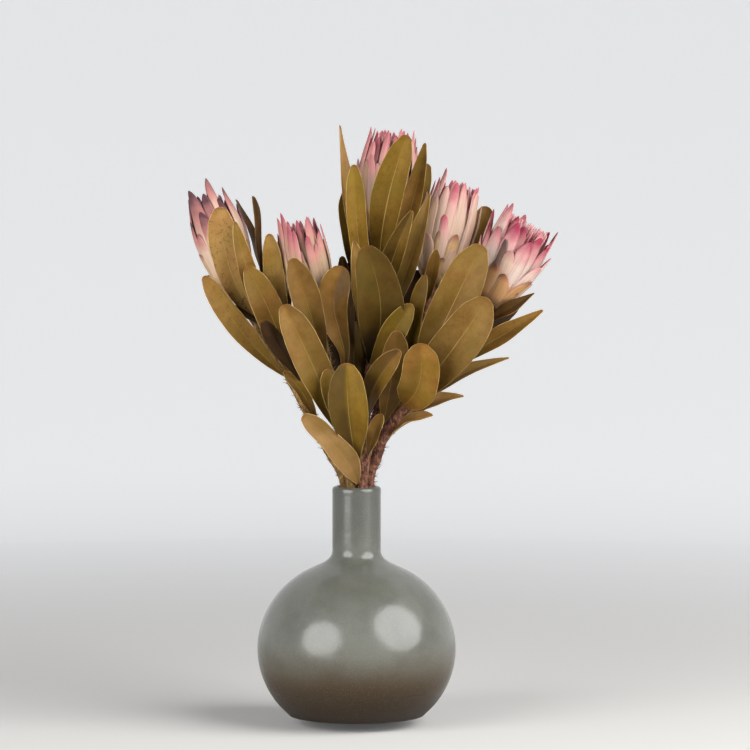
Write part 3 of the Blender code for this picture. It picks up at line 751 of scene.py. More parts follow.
# A head: its rows of bracts from the outside in, how many bracts a row has, how far they lean and
# vary in length, its seed, how blunt their tips are, and single bracts that stand out from the
# rest: each a turn from the front in degrees, a row, an age from 0, browned, to 1, fresh, and
# another finish's name if it isn't its own head's.
Head = namedtuple("Head", "rows each lean uneven seed blunt singles")
HEADS_LOOK = {
    "far_left": Head(
        (
            Row(0.00, 0.28, 11.0, 2.0, 0.5), Row(0.02, 0.48, 12.5, 1.9, 0.0),
            Row(0.05, 0.66, 13.5, 1.7, 0.0), Row(0.08, 0.82, 14.0, 1.3, -0.3),
            Row(0.14, 0.94, 13.5, 0.8, -1.2), Row(0.20, 1.00, 12.0, 0.2, -2.4),
            Row(0.26, 0.98, 10.0, -1.2, -4.5),
        ),
        6, 0.05, 0.14, 11, 1.9,
        (
            (16, Row(0.3, 1.08, 9.0, -0.5, -4.0), 0.8, None),
            (-30, Row(0.12, 1.02, 15.0, 1.6, 0.5), 0.8, None),
            (-52, Row(0.04, 0.62, 13.5, 2.6, 0.0), 0.42, None),
            (-14, Row(0.08, 0.8, 13.0, 2.4, 0.0), 0.6, None),
        ),
    ),
    "left": Head(
        (
            Row(0.00, 0.28, 8.5, 2.0, 0.4), Row(0.02, 0.48, 8.5, 1.7, 0.2),
            Row(0.05, 0.66, 7.6, 1.8, 0.5), Row(0.10, 0.78, 6.6, 1.6, 0.5),
            Row(0.14, 0.86, 6.2, 1.2, 0.2), Row(0.18, 0.93, 5.8, 0.6, -0.4),
            Row(0.22, 0.98, 5.6, -0.2, -1.0), Row(0.26, 1.02, 5.4, -1.2, -2.0),
            Row(0.30, 1.03, 5.2, -2.4, -3.2),
        ),
        9, 0.05, 0.12, 5, 3.4,
        (
            (-62, Row(0.2, 1.04, 7.0, 1.5, 2.0), 0.9, None),
            (-34, Row(0.2, 1.08, 6.0, 1.2, 0.5), 0.9, None),
            (24, Row(0.12, 1.0, 7.0, 1.4, 0.5), 0.8, None),
        ),
    ),
    "middle": Head(
        (
            Row(0.00, 0.28, 9.0, 2.0, 0.5), Row(0.02, 0.48, 10.0, 1.8, 0.5),
            Row(0.05, 0.70, 9.0, 1.5, 0.4), Row(0.10, 0.88, 7.5, 1.2, 0.3),
            Row(0.14, 0.98, 6.5, 0.6, 0.0), Row(0.20, 1.02, 6.0, -0.4, -0.6),
            Row(0.26, 1.02, 5.5, -1.6, -2.0), Row(0.30, 1.00, 5.0, -3.0, -3.4),
        ),
        9, 0.05, 0.12, 7, 3.2,
        (
            (-50, Row(0.12, 0.84, 9.0, 1.8, 0.6), 0.5, None),
            (-30, Row(0.1, 0.72, 9.0, 2.2, 0.4), 0.4, None),
            (-62, Row(0.06, 0.6, 8.5, 2.4, 0.6), 0.36, None),
        ),
    ),
    "right": Head(
        (
            Row(0.00, 0.28, 9.0, 2.2, 0.5), Row(0.02, 0.52, 9.5, 2.0, 0.5),
            Row(0.05, 0.84, 9.5, 1.6, 0.4), Row(0.10, 0.94, 9.0, 1.1, 0.0),
            Row(0.14, 0.98, 8.0, 0.5, 0.0), Row(0.20, 1.00, 7.0, -0.4, -0.4),
            Row(0.26, 1.00, 6.2, -1.6, -1.2), Row(0.30, 0.99, 5.5, -3.0, -2.2),
        ),
        8, 0.035, 0.08, 3, 3.0,
        (
            (-58, Row(0.2, 1.08, 7.0, 0.8, -1.0), 0.9, None),
            (-4, Row(0.08, 0.66, 10.0, 2.6, 0.6), 0.75, None),
            (48, Row(0.14, 0.9, 9.0, 1.8, 1.2), 0.8, None),
            (-30, Row(0.03, 0.46, 9.5, 3.0, 1.0), 0.3, None),
            (14, Row(0.02, 0.36, 10.0, 2.8, 1.2), 0.3, None),
            (-56, Row(0.04, 0.56, 9.0, 2.4, 0.8), 0.42, None),
        ),
    ),
    "far_right": Head(
        (
            Row(0.00, 0.28, 12.0, 2.4, 1.0), Row(0.02, 0.44, 13.0, 2.4, 1.5),
            Row(0.04, 0.62, 14.0, 2.2, 2.5), Row(0.08, 0.78, 14.0, 1.8, 3.0),
            Row(0.12, 0.90, 13.5, 1.2, 3.0), Row(0.18, 0.99, 12.5, 0.4, 1.5),
            Row(0.26, 1.01, 10.0, -1.4, -2.0),
        ),
        6, 0.06, 0.16, 9, 1.9,
        (
            (-26, Row(0.0, 0.4, 15.0, 3.6, 3.0), 0.12, None),
            (10, Row(0.0, 0.36, 14.0, 3.8, 2.5), 0.12, None),
            (46, Row(0.0, 0.42, 12.0, 3.4, 3.5), 0.1, None),
            (16, Row(0.1, 0.72, 13.0, 3.0, 2.5), 0.8, None),
            (-56, Row(0.16, 1.0, 11.0, 2.0, 2.0), 0.9, None),
            (-15, Row(0.2, 0.66, 6.5, 4.4, 2.5), 0.9, "aged"),
            (-24, Row(0.1, 0.5, 9.0, 4.0, 1.0), 0.7, "aged"),
        ),
    ),
}


def place_piece(name, mesh, place):
    """A finished mesh set at a head, as a piece of its own."""
    mesh.transform(place)
    piece = linked_object(name, mesh)
    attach(piece, "root")
    return piece


def make_head(name, finishes, brush_finish):
    """A flower head: its spiral of bracts, its odd bracts out, and its brush of florets."""
    place, length, heights, radii = head_frame(name)
    look, finish = HEADS_LOOK[name], finishes[name]
    rows = bpy.data.collections.new(f"rows_{name}")
    bpy.context.scene.collection.children.link(rows)
    for k, row in enumerate(look.rows):
        mesh = bract_mesh(f"row_{k:02d}", heights, radii, row, look.blunt)
        rows.objects.link(bpy.data.objects.new(f"row_{name}_{k:02d}", mesh))
    mesh = run_tree(
        f"bracts_{name}", SPIRAL,
        {"Rows": rows, "Count": look.each * len(look.rows), "Each Row": look.each,
         "Lean": look.lean, "Uneven": look.uneven, "Seed": look.seed, "Material": finish},
    )
    for piece in list(rows.objects):
        bpy.data.objects.remove(piece)
    bpy.data.collections.remove(rows)
    slot = f"head_{name}_bracts"
    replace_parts(place_piece(f"bracts_{name}", mesh, place), slot)
    for k, (turn, row, age, other) in enumerate(look.singles):
        mesh = bract_mesh(f"bract_{name}_{k + 1}", heights, radii, row, look.blunt, curl=0.15 * (-1) ** k)
        store_field(mesh, "tone", np.full(len(mesh.vertices), 0.2 + 0.6 * (k % 2)))
        store_field(mesh, "rank", np.full(len(mesh.vertices), age))
        mesh.materials.append(finishes[other or name])
        mesh.transform(Matrix.Rotation(math.radians(turn), 4, "Z"))
        place_piece(f"bract_{name}_{k + 1}", mesh, place)
    make_brush(name, brush_finish, look.seed, place, length, radii)


def floret_mesh(length):
    """One floret: a slim stalk that swells into a hairy club at its tip."""
    stations = [(0.0, 0.35), (0.45, 0.45), (0.72, 0.75), (0.88, 1.05), (0.97, 0.7)]
    sides = 5
    places, uv = [], []
    for share, radius in stations:
        for j in range(sides):
            a = math.tau * j / sides
            places.append((radius * MM * math.cos(a), radius * MM * math.sin(a), share * length))
            uv.append((j / sides, share))
    places += [(0, 0, 0), (0, 0, length)]
    uv += [(0.5, 0), (0.5, 1)]
    mesh = smooth_mesh("floret", places, tube_faces(len(stations), sides), uv)
    outward_normals(mesh)
    return mesh


def sunflower_tree():
    """Geometry Nodes: florets on a disc in a golden-angle spiral, leaning out towards its rim."""
    tree, given = new_tree(
        "floret_disc", ("Floret", "Object", None), ("Count", "Int", 90), ("Disc Radius", "Float", 0.008),
        ("Foot Height", "Float", 0.03), ("Splay", "Float", 0.1), ("Seed", "Int", 1),
        ("Material", "Material", None),
    )
    line = add(tree, "GeometryNodeMeshLine", {"Count": given["Count"], "Offset": (0, 0, 0)})
    number = add(tree, "GeometryNodeInputIndex")
    filled = add(tree, MATH, {0: number, 1: given["Count"]}, operation="DIVIDE")
    share = add(tree, MATH, {0: filled, 1: 0.5}, operation="POWER")
    reach = add(tree, MATH, {0: share, 1: given["Disc Radius"]}, operation="MULTIPLY")
    turn = add(tree, MATH, {0: number, 1: GOLDEN_ANGLE}, operation="MULTIPLY")
    cosine = add(tree, MATH, {0: turn}, operation="COSINE")
    x = add(tree, MATH, {0: reach, 1: cosine}, operation="MULTIPLY")
    sine = add(tree, MATH, {0: turn}, operation="SINE")
    y = add(tree, MATH, {0: reach, 1: sine}, operation="MULTIPLY")
    spot = add(tree, JOIN, {0: x, 1: y, 2: given["Foot Height"]})
    moved = add(tree, "GeometryNodeSetPosition", {"Geometry": line, "Position": spot})
    lean = add(tree, MATH, {0: share, 1: given["Splay"]}, operation="MULTIPLY")
    stray = add(tree, RANDOM, {2: -0.05, 3: 0.05, "ID": number, "Seed": given["Seed"]})
    lean = add(tree, MATH, {0: lean, 1: stray.outputs[1]}, operation="ADD")
    rotation = add(tree, JOIN, {0: 0.0, 1: lean, 2: turn})
    size = add(tree, RANDOM, {2: 0.84, 3: 1.0, "ID": number, "Seed": given["Seed"]})
    scale = add(tree, JOIN, {0: 1.0, 1: 1.0, 2: size.outputs[1]})
    one = add(tree, "GeometryNodeObjectInfo", {"Object": given["Floret"]})
    placed = add(tree, ON_POINTS, {
        "Points": moved, "Instance": one.outputs["Geometry"], "Rotation": rotation, "Scale": scale})
    toned = add(tree, KEEP_FIELD, {
        "Geometry": placed, "Name": "tone", "Value": size.outputs[1]}, domain="INSTANCE")
    real = add(tree, REALIZE, {"Geometry": toned})
    done = add(tree, SET_MATERIAL, {"Geometry": real, "Material": given["Material"]})
    add(tree, "NodeGroupOutput", {0: done})
    return tree


BRUSH_FOOT = 0.3  # where the florets start, as a share of the head's length
BRUSH_TOP = 0.93


def make_brush(name, finish, seed, place, length, radii):
    """The head's brush of florets, inside its bracts."""
    foot = BRUSH_FOOT * length
    one = linked_object(f"floret_{name}", floret_mesh(length * BRUSH_TOP - foot))
    inner = float(radii[2]) - 5.5 * MM
    outer = float(radii[-1]) - 4.0 * MM
    values = {
        "Floret": one, "Count": 90, "Disc Radius": inner, "Foot Height": foot,
        "Splay": math.atan2(outer - inner - 1.5 * MM, length - foot), "Seed": seed, "Material": finish,
    }
    mesh = run_tree(f"florets_{name}", SUNFLOWER, values)
    bpy.data.objects.remove(one)
    slot = f"head_{name}_florets"
    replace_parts(place_piece(f"florets_{name}", mesh, place), slot)


def dried_bract(name, foot, cream, blush, tip, outer, rim, white_until=0.55):
    """Papery bract, air-dried: silky and matte, finely ribbed along its length, cream where it
    was shaded by its neighbours and flushed towards its tip. The outermost have browned."""
    made, tree, shader = new_material(name, Roughness=0.62, IOR=1.42, Specular_IOR_Level=0.3)
    place = add(tree, PLACE).outputs["Object"]
    surface = add(tree, SPLIT, {0: add(tree, PLACE).outputs["UV"]})
    across, along = surface.outputs[0], surface.outputs[1]
    tone, rank = (add(tree, FIELD, attribute_name=key).outputs["Fac"] for key in ("tone", "rank"))
    # the flush starts at a different height on every bract, and in clouds of 8 mm
    cloud = add(tree, NOISE, {"Vector": place, "Scale": 120.0, "Detail": 3.0})
    both = add(tree, MATH, {0: cloud, 1: tone}, operation="ADD")
    shift = add(tree, RANGE, {0: both, 1: 0.3, 2: 1.7, 3: -0.2, 4: 0.06})
    short = add(tree, RANGE, {0: rank, 1: 0.15, 2: 0.55, 3: -0.3, 4: 0.08}, **SMOOTH)
    ripe = add(tree, MATH, {0: along, 1: short}, operation="ADD")
    flush = add(tree, MATH, {0: ripe, 1: shift}, operation="ADD")
    fresh = add(tree, STOPS, {0: flush}, [
        (0.0, foot), (0.22, cream), (white_until, cream), ((white_until + 1.0) / 2, blush), (1.0, tip)])
    brown = add(tree, STOPS, {0: along}, [(0.05, "#5E4024"), (0.35, outer), (0.8, outer), (1.0, "#7A3F2C")])
    age = add(tree, RANGE, {0: rank, 1: 0.12, 2: 0.42, 3: 1.0, 4: 0.0}, **SMOOTH)
    colour = add(tree, MIX, {0: age, 6: fresh, 7: brown}, data_type="RGBA")
    # a line of flush runs up both edges
    side = add(tree, MATH, {0: across}, operation="ABSOLUTE")
    high = add(tree, RANGE, {0: along, 1: 0.35, 2: 0.8, 3: 0.0, 4: 0.55}, **SMOOTH)
    line = add(tree, RANGE, {0: side, 1: 0.78, 2: 1.0, 3: 0.0, 4: high}, **SMOOTH)
    colour = add(tree, MIX, {0: line, 6: colour, 7: linear(rim)}, data_type="RGBA")
    # ribs run the length of the bract, 0.6 mm apart
    squashed = add(tree, MATH, {0: along, 1: 0.1}, operation="MULTIPLY")
    stretch = add(tree, JOIN, {0: across, 1: squashed, 2: tone})
    ribs = add(tree, NOISE, {"Vector": stretch, "Scale": 8.0, "Detail": 3.0})
    furrow = add(tree, RANGE, {0: ribs, 1: 0.3, 2: 0.6, 3: 0.22, 4: 0.0}, **SMOOTH)
    colour = add(tree, MIX, {0: furrow, 6: colour, 7: linear(foot)}, data_type="RGBA", blend_type="MULTIPLY")
    ridge = add(tree, RANGE, {0: ribs, 1: 0.55, 2: 0.8, 3: 0.0, 4: 0.2}, **SMOOTH)
    colour = add(tree, MIX, {0: ridge, 6: colour, 7: linear(cream)}, data_type="RGBA")
    bump = add(tree, BUMP, {"Height": ribs, "Strength": 0.5, "Distance": 0.3 * MM})
    finish_with(tree, shader, Base_Color=colour, Normal=bump)
    return made


def floret_down():
    """Silky floret hair: matte, pale at the tip over rose."""
    made, tree, shader = new_material("rose_floret_down", Roughness=0.8, IOR=1.4)
    surface = add(tree, SPLIT, {0: add(tree, PLACE).outputs["UV"]})
    place = add(tree, PLACE).outputs["Object"]
    colour = add(tree, STOPS, {0: surface.outputs[1]}, [
        (0.0, "#8E5A48"), (0.55, "#B56B6B"), (0.85, "#CB8A8C"), (1.0, "#DDB0AA")])
    speck = add(tree, NOISE, {"Vector": place, "Scale": 900.0, "Detail": 2.0})
    dark = add(tree, RANGE, {0: speck, 1: 0.4, 2: 0.65, 3: 0.5, 4: 0.0})
    colour = add(tree, MIX, {0: dark, 6: colour, 7: linear("#A04555")}, data_type="RGBA")
    bump = add(tree, BUMP, {"Height": speck, "Strength": 0.6, "Distance": 0.3 * MM})
    finish_with(tree, shader, Base_Color=colour, Normal=bump)
    return made


# ---------------------------------------------------------------- stems

STEM_ROWS = 190
STEM_SIDES = 18
NECK_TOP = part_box("vase")[1][2]


def fibre_mesh():
    """A torn bark fibre, 5 mm long: a bent three-sided spike."""
    places, stations = [], ((0, 0.36, 0), (0.4, 0.3, 0.15), (0.75, 0.18, 0.6))
    for share, radius, bend in stations:
        for j in range(3):
            a = math.tau * j / 3
            places.append(((radius * math.cos(a) + bend) * MM, radius * math.sin(a) * MM, share * 5 * MM))
    places.append((1.2 * MM, 0, 5 * MM))
    faces = [(2, 1, 0), *grid_faces(3, 3, closed=True), *((6 + j, 6 + (j + 1) % 3, 9) for j in range(3))]
    mesh = bpy.data.meshes.new("fibre")
    mesh.from_pydata(places, [], faces)
    outward_normals(mesh)
    return mesh


def fibre_tree():
    """Geometry Nodes: torn fibres scattered over a stem's bark above a height, leaning upwards."""
    tree, given = new_tree(
        "torn_fibres", ("Geometry", "Geometry", None), ("Fibre", "Object", None),
        ("Density", "Float", 150000.0), ("From Height", "Float", 0.2), ("Seed", "Int", 1),
        ("Material", "Material", None),
    )
    height = add(tree, SPLIT, {0: add(tree, "GeometryNodeInputPosition")}).outputs[2]
    above = add(tree, MATH, {0: height, 1: given["From Height"]}, operation="GREATER_THAN")
    density = add(tree, MATH, {0: above, 1: given["Density"]}, operation="MULTIPLY")
    points = add(tree, "GeometryNodeDistributePointsOnFaces", {
        "Mesh": given["Geometry"], "Density": density, "Seed": given["Seed"]})
    stray = add(tree, RANDOM, {
        0: (-0.45, -0.45, 0.2), 1: (0.45, 0.45, 1.2), "Seed": given["Seed"]}, data_type="FLOAT_VECTOR")
    out = add(tree, VECTOR_MATH, {0: points.outputs["Normal"], 1: (0.55, 0.55, 0.55)}, operation="MULTIPLY")
    way = add(tree, VECTOR_MATH, {0: out, 1: stray}, operation="ADD")
    turned = add(tree, "FunctionNodeAlignRotationToVector", {"Vector": way}, axis="Z")
    size = add(tree, RANDOM, {2: 0.35, 3: 1.0, "Seed": given["Seed"]})
    one = add(tree, "GeometryNodeObjectInfo", {"Object": given["Fibre"]})
    placed = add(tree, ON_POINTS, {
        "Points": points, "Instance": one.outputs["Geometry"], "Rotation": turned, "Scale": size.outputs[1]})
    real = add(tree, REALIZE, {"Geometry": placed})
    both = add(tree, "GeometryNodeJoinGeometry")
    tree.links.new(real.outputs[0], both.inputs[0])
    tree.links.new(given["Geometry"], both.inputs[0])
    done = add(tree, SET_MATERIAL, {"Geometry": both, "Material": given["Material"]})
    add(tree, "NodeGroupOutput", {0: done})
    return tree


def stem_course(name):
    """A CAD stem's middle line and radius: its rings of eight, in order of height."""
    bm = joined_copy(name)
    places = np.array(sorted((tuple(v.co) for v in bm.verts), key=lambda p: p[2]))
    bm.free()
    rings = [places[i : i + 8] for i in range(0, len(places) // 8 * 8, 8)]
    centres = np.array([ring.mean(0) for ring in rings])
    radii = np.array([np.linalg.norm(ring - ring.mean(0), axis=1).mean() for ring in rings])
    return centres, radii


SCAR_STEP = 11 * MM  # between one old leaf scar and the next
FIRST_SCAR = 4 * MM
SCAR_HALF_HEIGHT = 1.4 * MM
HIDDEN_IN_HEAD = 5 * MM  # how far a stem runs on into its flower head


def bark_relief(turn, height, seed, scars):
    """How far the bark stands out at a turn round the stem and a height along it, in mm."""
    ridge = noise.noise(Vector((math.cos(turn) * 2.2, math.sin(turn) * 2.2, height * 40 + seed)))
    knob = noise.noise(Vector((math.cos(turn) * 1.2 + seed, math.sin(turn) * 1.2, height * 160)))
    grow = 0.35 * ridge + 0.3 * knob
    for scar, scar_turn in scars:
        away = abs(height - scar)
        if away < 5 * MM:
            facing = max(0.0, math.cos(turn - scar_turn)) ** 3
            grow += 0.9 * facing * math.exp(-((away / SCAR_HALF_HEIGHT) ** 2))
    return grow


def make_stem(name, finish):
    """A woody stem with ridges and old leaf scars, run up into its flower head."""
    centres, radii = stem_course(name)
    onward = centres[-1] + unit(centres[-1] - centres[-2]) * HIDDEN_IN_HEAD
    centres = np.concatenate([centres, [onward]])
    radii = np.concatenate([radii, [radii[-1]]])
    knots = np.concatenate([[0], np.cumsum(np.linalg.norm(np.diff(centres, axis=0), axis=1))])
    along = np.linspace(0, knots[-1], STEM_ROWS)
    line = hermite(knots, centres, along)
    radius = np.interp(along, knots, radii)
    tangent = unit(np.gradient(line, axis=0))
    side = unit(np.cross(tangent, [0.0, 1.0, 0.0]))
    other = np.cross(tangent, side)
    seed = sum(map(ord, name))
    scars = [(k * SCAR_STEP + FIRST_SCAR, k * GOLDEN_ANGLE) for k in range(int(knots[-1] / SCAR_STEP))]
    places = []
    for i in range(STEM_ROWS):
        # slim enough to stand clear of the neck, and fuller above it
        full = 0.94 + 0.22 * min(1.0, max(0.0, (line[i][2] - NECK_TOP) / (15 * MM)))
        for j in range(STEM_SIDES):
            a = math.tau * j / STEM_SIDES
            out = side[i] * math.cos(a) + other[i] * math.sin(a)
            places.append(line[i] + out * (radius[i] * full + bark_relief(a, along[i], seed, scars) * MM))
    places += [line[0], line[-1]]
    smooth = mesh_object(f"smooth_{name[5:]}", places, tube_faces(STEM_ROWS, STEM_SIDES), finish)
    outward_normals(smooth.data)
    values = {"Fibre": FIBRE, "From Height": NECK_TOP - 2 * MM, "Seed": seed % 97, "Material": finish}
    mesh = run_tree(f"bark_{name[5:]}", TORN_FIBRES, values, smooth.data)
    bpy.data.objects.remove(smooth)
    piece = linked_object(f"bark_{name[5:]}", mesh)
    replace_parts(piece, name)
    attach(piece, "root")


def dry_bark(name, dark, light):
    """Young bark, dried on the stem: dull, split along its length into reddish fibres."""
    made, tree, shader = new_material(name, Roughness=0.85)
    place = add(tree, PLACE).outputs["Object"]
    squash = add(tree, "ShaderNodeMapping", {"Vector": place, "Scale": (1.0, 1.0, 0.08)})
    fibre = add(tree, NOISE, {"Vector": squash, "Scale": 1000.0, "Detail": 5.0, "Roughness": 0.65})
    flakes = add(tree, NOISE, {"Vector": place, "Scale": 260.0, "Detail": 4.0})
    both = add(tree, MATH, {0: fibre, 1: flakes}, operation="MULTIPLY")
    colour = add(tree, STOPS, {0: both}, [(0.12, "#241208"), (0.22, dark), (0.33, light), (0.46, "#BC9468")])
    bump = add(tree, BUMP, {"Height": both, "Strength": 1.0, "Distance": 1.6 * MM})
    finish_with(tree, shader, Base_Color=colour, Normal=bump)
    return made


# ---------------------------------------------------------------- vase

VASE_SIDES = 160


def vase_profile():
    """The CAD vase's section: its places over the +X axis, walked from foot to floor."""
    bm = joined_copy("vase")
    keep = {v.index: v for v in bm.verts if abs(v.co.y) < 0.01 * MM and v.co.x > -0.01 * MM}
    start = min(keep.values(), key=lambda v: (v.co.x > 0.01 * MM, v.co.z))
    walk, seen = [start], {start.index}
    while True:
        following = [
            e.other_vert(walk[-1])
            for e in walk[-1].link_edges
            if e.other_vert(walk[-1]).index in keep and e.other_vert(walk[-1]).index not in seen
        ]
        if not following:
            break
        walk.append(following[0])
        seen.add(following[0].index)
    places = np.array([(v.co.x, v.co.z) for v in walk])
    bm.free()
    return places


def make_vase(finish):
    """The CAD section with its curves smoothed, spun as one thrown shell."""
    section = vase_profile()
    # long straight runs get places of their own, so that they stay straight
    filled = [section[0]]
    for a, b in zip(section, section[1:]):
        parts = 12 if np.linalg.norm(b - a) > 30 * MM else 1
        filled += [a + (b - a) * (k + 1) / parts for k in range(parts)]
    section = np.array(filled)
    corners = [0, 1]
    for i in range(2, len(section) - 1):
        a, b = unit(section[i] - section[i - 1]), unit(section[i + 1] - section[i])
        if np.dot(a, b) < math.cos(math.radians(50)):
            corners.append(i)
    corners.append(len(section) - 1)
    fine = []
    for a, b in zip(corners, corners[1:]):
        part = section[a : b + 1]
        if len(part) < 3:
            fine.append(part[:-1])
            continue
        knots = np.concatenate([[0], np.cumsum(np.linalg.norm(np.diff(part, axis=0), axis=1))])
        count = (len(part) - 1) * 5
        fine.append(hermite(knots, part, np.linspace(0, knots[-1], count + 1))[:-1])
    outline = np.concatenate([*fine, section[-1:]])
    ring = outline[1:-1]
    turns = np.arange(VASE_SIDES) * math.tau / VASE_SIDES
    radius, height = ring[:, :1], np.broadcast_to(ring[:, 1:], (len(ring), VASE_SIDES))
    places = np.stack([radius * np.cos(turns), radius * np.sin(turns), height], -1).reshape(-1, 3)
    places = np.concatenate([places, [[0, 0, outline[0, 1]], [0, 0, outline[-1, 1]]]])
    piece = mesh_object("glazed_vase", places, tube_faces(len(ring), VASE_SIDES), finish)
    outward_normals(piece.data)
    piece.data.set_sharp_from_angle(angle=math.radians(45))
    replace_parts(piece, "vase")
    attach(piece, "root")


# Heights on the vase, in metres.
NECK_TO_SHOULDER = (0.17, 0.13)  # where the colour goes from darker on the neck to lighter on the shoulder
PAINTED_REFLECTION_FADE = (0.046, 0.096)  # where the painted reflection of a brown table fades, from full near the foot to none
BARE_FOOT = (0.0012, 0.0022)  # the unglazed rubbing edge
DULL_FOOT = (0.004, 0.04)  # where handling has dulled the gloss


def celadon_glaze():
    """Stoneware under a poured grey-green glaze, fired glossy: an even glassy coat with a faint
    orange peel, fine crackle and pin specks. Towards the foot its colour carries a painted
    reflection of a brown table top, warmer and darker."""
    made, tree, shader = new_material("grey_green_glaze", IOR=1.55)
    place = add(tree, PLACE).outputs["Object"]
    height = add(tree, SPLIT, {0: place}).outputs[2]
    cloud = add(tree, NOISE, {"Vector": place, "Scale": 22.0, "Detail": 4.0})
    neck_to_globe = add(tree, RANGE, {0: height, 1: NECK_TO_SHOULDER[0], 2: NECK_TO_SHOULDER[1], 3: 0.0, 4: 0.45}, **SMOOTH)
    shade = add(tree, MATH, {0: cloud, 1: neck_to_globe}, operation="ADD")
    # darker on the neck and lighter on the globe
    colour = add(tree, STOPS, {0: shade}, [(0.3, "#464841"), (0.7, "#53554D"), (1.1, "#676860")])
    # painted reflection of a brown table top: below the widest part the colour warms and darkens towards the
    # foot
    drift = add(tree, MATH, {0: cloud, 1: 0.02, 2: height}, operation="MULTIPLY_ADD")
    lift = add(tree, MATH, {0: height, 1: 11.0}, operation="MULTIPLY")
    low = add(tree, STOPS, {0: lift}, [
        (0.0, "#1C1206"), (0.25, "#302314"), (0.5, "#463929"), (0.95, "#5E594C")])
    # thin is the mask of the painted table reflection: 1 near the foot, fading to 0 by the widest part
    thin = add(tree, RANGE, {0: drift, 1: PAINTED_REFLECTION_FADE[0], 2: PAINTED_REFLECTION_FADE[1], 3: 1.0, 4: 0.0}, **SMOOTH)
    colour = add(tree, MIX, {0: thin, 6: colour, 7: low}, data_type="RGBA")
    # crackle of 3 mm cells and 0.3 mm pin specks
    walls = add(tree, CELLS, {"Vector": place, "Scale": 330.0}, feature="DISTANCE_TO_EDGE")
    crack = add(tree, RANGE, {0: walls, 1: 0.0, 2: 0.05, 3: 0.2, 4: 0.0}, **SMOOTH)
    colour = add(tree, MIX, {0: crack, 6: colour, 7: linear("#3F3E37")}, data_type="RGBA")
    pins = add(tree, CELLS, {"Vector": place, "Scale": 700.0})
    pin = add(tree, RANGE, {0: pins, 1: 0.12, 2: 0.18, 3: 0.3, 4: 0.0})
    colour = add(tree, MIX, {0: pin, 6: colour, 7: linear("#9A9A8F")}, data_type="RGBA")
    # the foot's rubbing edge is bare fired clay
    bare = add(tree, RANGE, {0: height, 1: BARE_FOOT[0], 2: BARE_FOOT[1], 3: 1.0, 4: 0.0}, **SMOOTH)
    colour = add(tree, MIX, {0: bare, 6: colour, 7: linear("#6B5645")}, data_type="RGBA")
    gloss = add(tree, RANGE, {0: cloud, 1: 0.3, 2: 0.7, 3: 0.15, 4: 0.24})
    dull = add(tree, RANGE, {0: height, 1: DULL_FOOT[0], 2: DULL_FOOT[1], 3: 0.35, 4: 0.0}, **SMOOTH)
    matt = add(tree, MATH, {0: dull, 1: gloss}, operation="ADD")
    # the glaze shines less where the painted reflection lies
    shine = add(tree, RANGE, {0: thin, 1: 0.0, 2: 1.0, 3: 0.5, 4: 0.2})
    peel = add(tree, NOISE, {"Vector": place, "Scale": 420.0, "Detail": 2.0})
    swell = add(tree, NOISE, {"Vector": place, "Scale": 60.0, "Detail": 2.0})
    fine = add(tree, MATH, {0: peel, 1: 0.12}, operation="MULTIPLY")
    relief = add(tree, MATH, {0: swell, 1: 0.5, 2: fine}, operation="MULTIPLY_ADD")
    bump = add(tree, BUMP, {"Height": relief, "Strength": 0.6, "Distance": 0.8 * MM})
    finish_with(tree, shader, Base_Color=colour, Roughness=matt, Specular_IOR_Level=shine, Normal=bump)
    return made


# ---------------------------------------------------------------- camera, floor and light


CAMERA_PLACE = Vector((0.0154, -3.0, 0.45))
CAMERA_AIM = Vector((0.0154, 0, 0.293))
LAMP_AIM = Vector((0, 0, 0.25))
# Two round softboxes: place, width in metres and power in watts.
SOFTBOXES = {
    "softbox_left": (Vector((-1.25, -1.35, 0.7)), 1.6, 35),
    "softbox_right": (Vector((1.45, -0.95, 1.1)), 2.1, 63),
}


def pointed_at(thing, place, aim):
    """Sets a camera or a lamp at a place and turns it to its aim."""
    thing.location = place
    thing.rotation_euler = (aim - place).to_track_quat("-Z", "Y").to_euler()


def set_stage():
    """The camera, the paper sweep, a dim even light from all round and the softboxes."""
    camera = linked_object("camera", bpy.data.cameras.new("camera"))
    camera.data.sensor_width = 36.0
    camera.data.lens = 172.9
    camera.data.clip_end = 60
    pointed_at(camera, CAMERA_PLACE, CAMERA_AIM)
    bpy.context.scene.camera = camera

    make_sweep()
    world = bpy.data.worlds.new("studio_air")
    world.use_nodes = True
    world.node_tree.nodes["Background"].inputs["Color"].default_value = linear("#E4E8EE")
    world.node_tree.nodes["Background"].inputs["Strength"].default_value = 0.1
    bpy.context.scene.world = world
    for name, (place, width, power) in SOFTBOXES.items():
        light = bpy.data.lights.new(name, "AREA")
        light.shape, light.size, light.energy = "DISK", width, power
        pointed_at(linked_object(name, light), place, LAMP_AIM)


SWEEP_BEND = 1.6  # where the floor starts to rise, in metres from the vase
SWEEP_RADIUS = 2.6
SWEEP_HEIGHT = 6.0
SWEEP_SIDES = 96


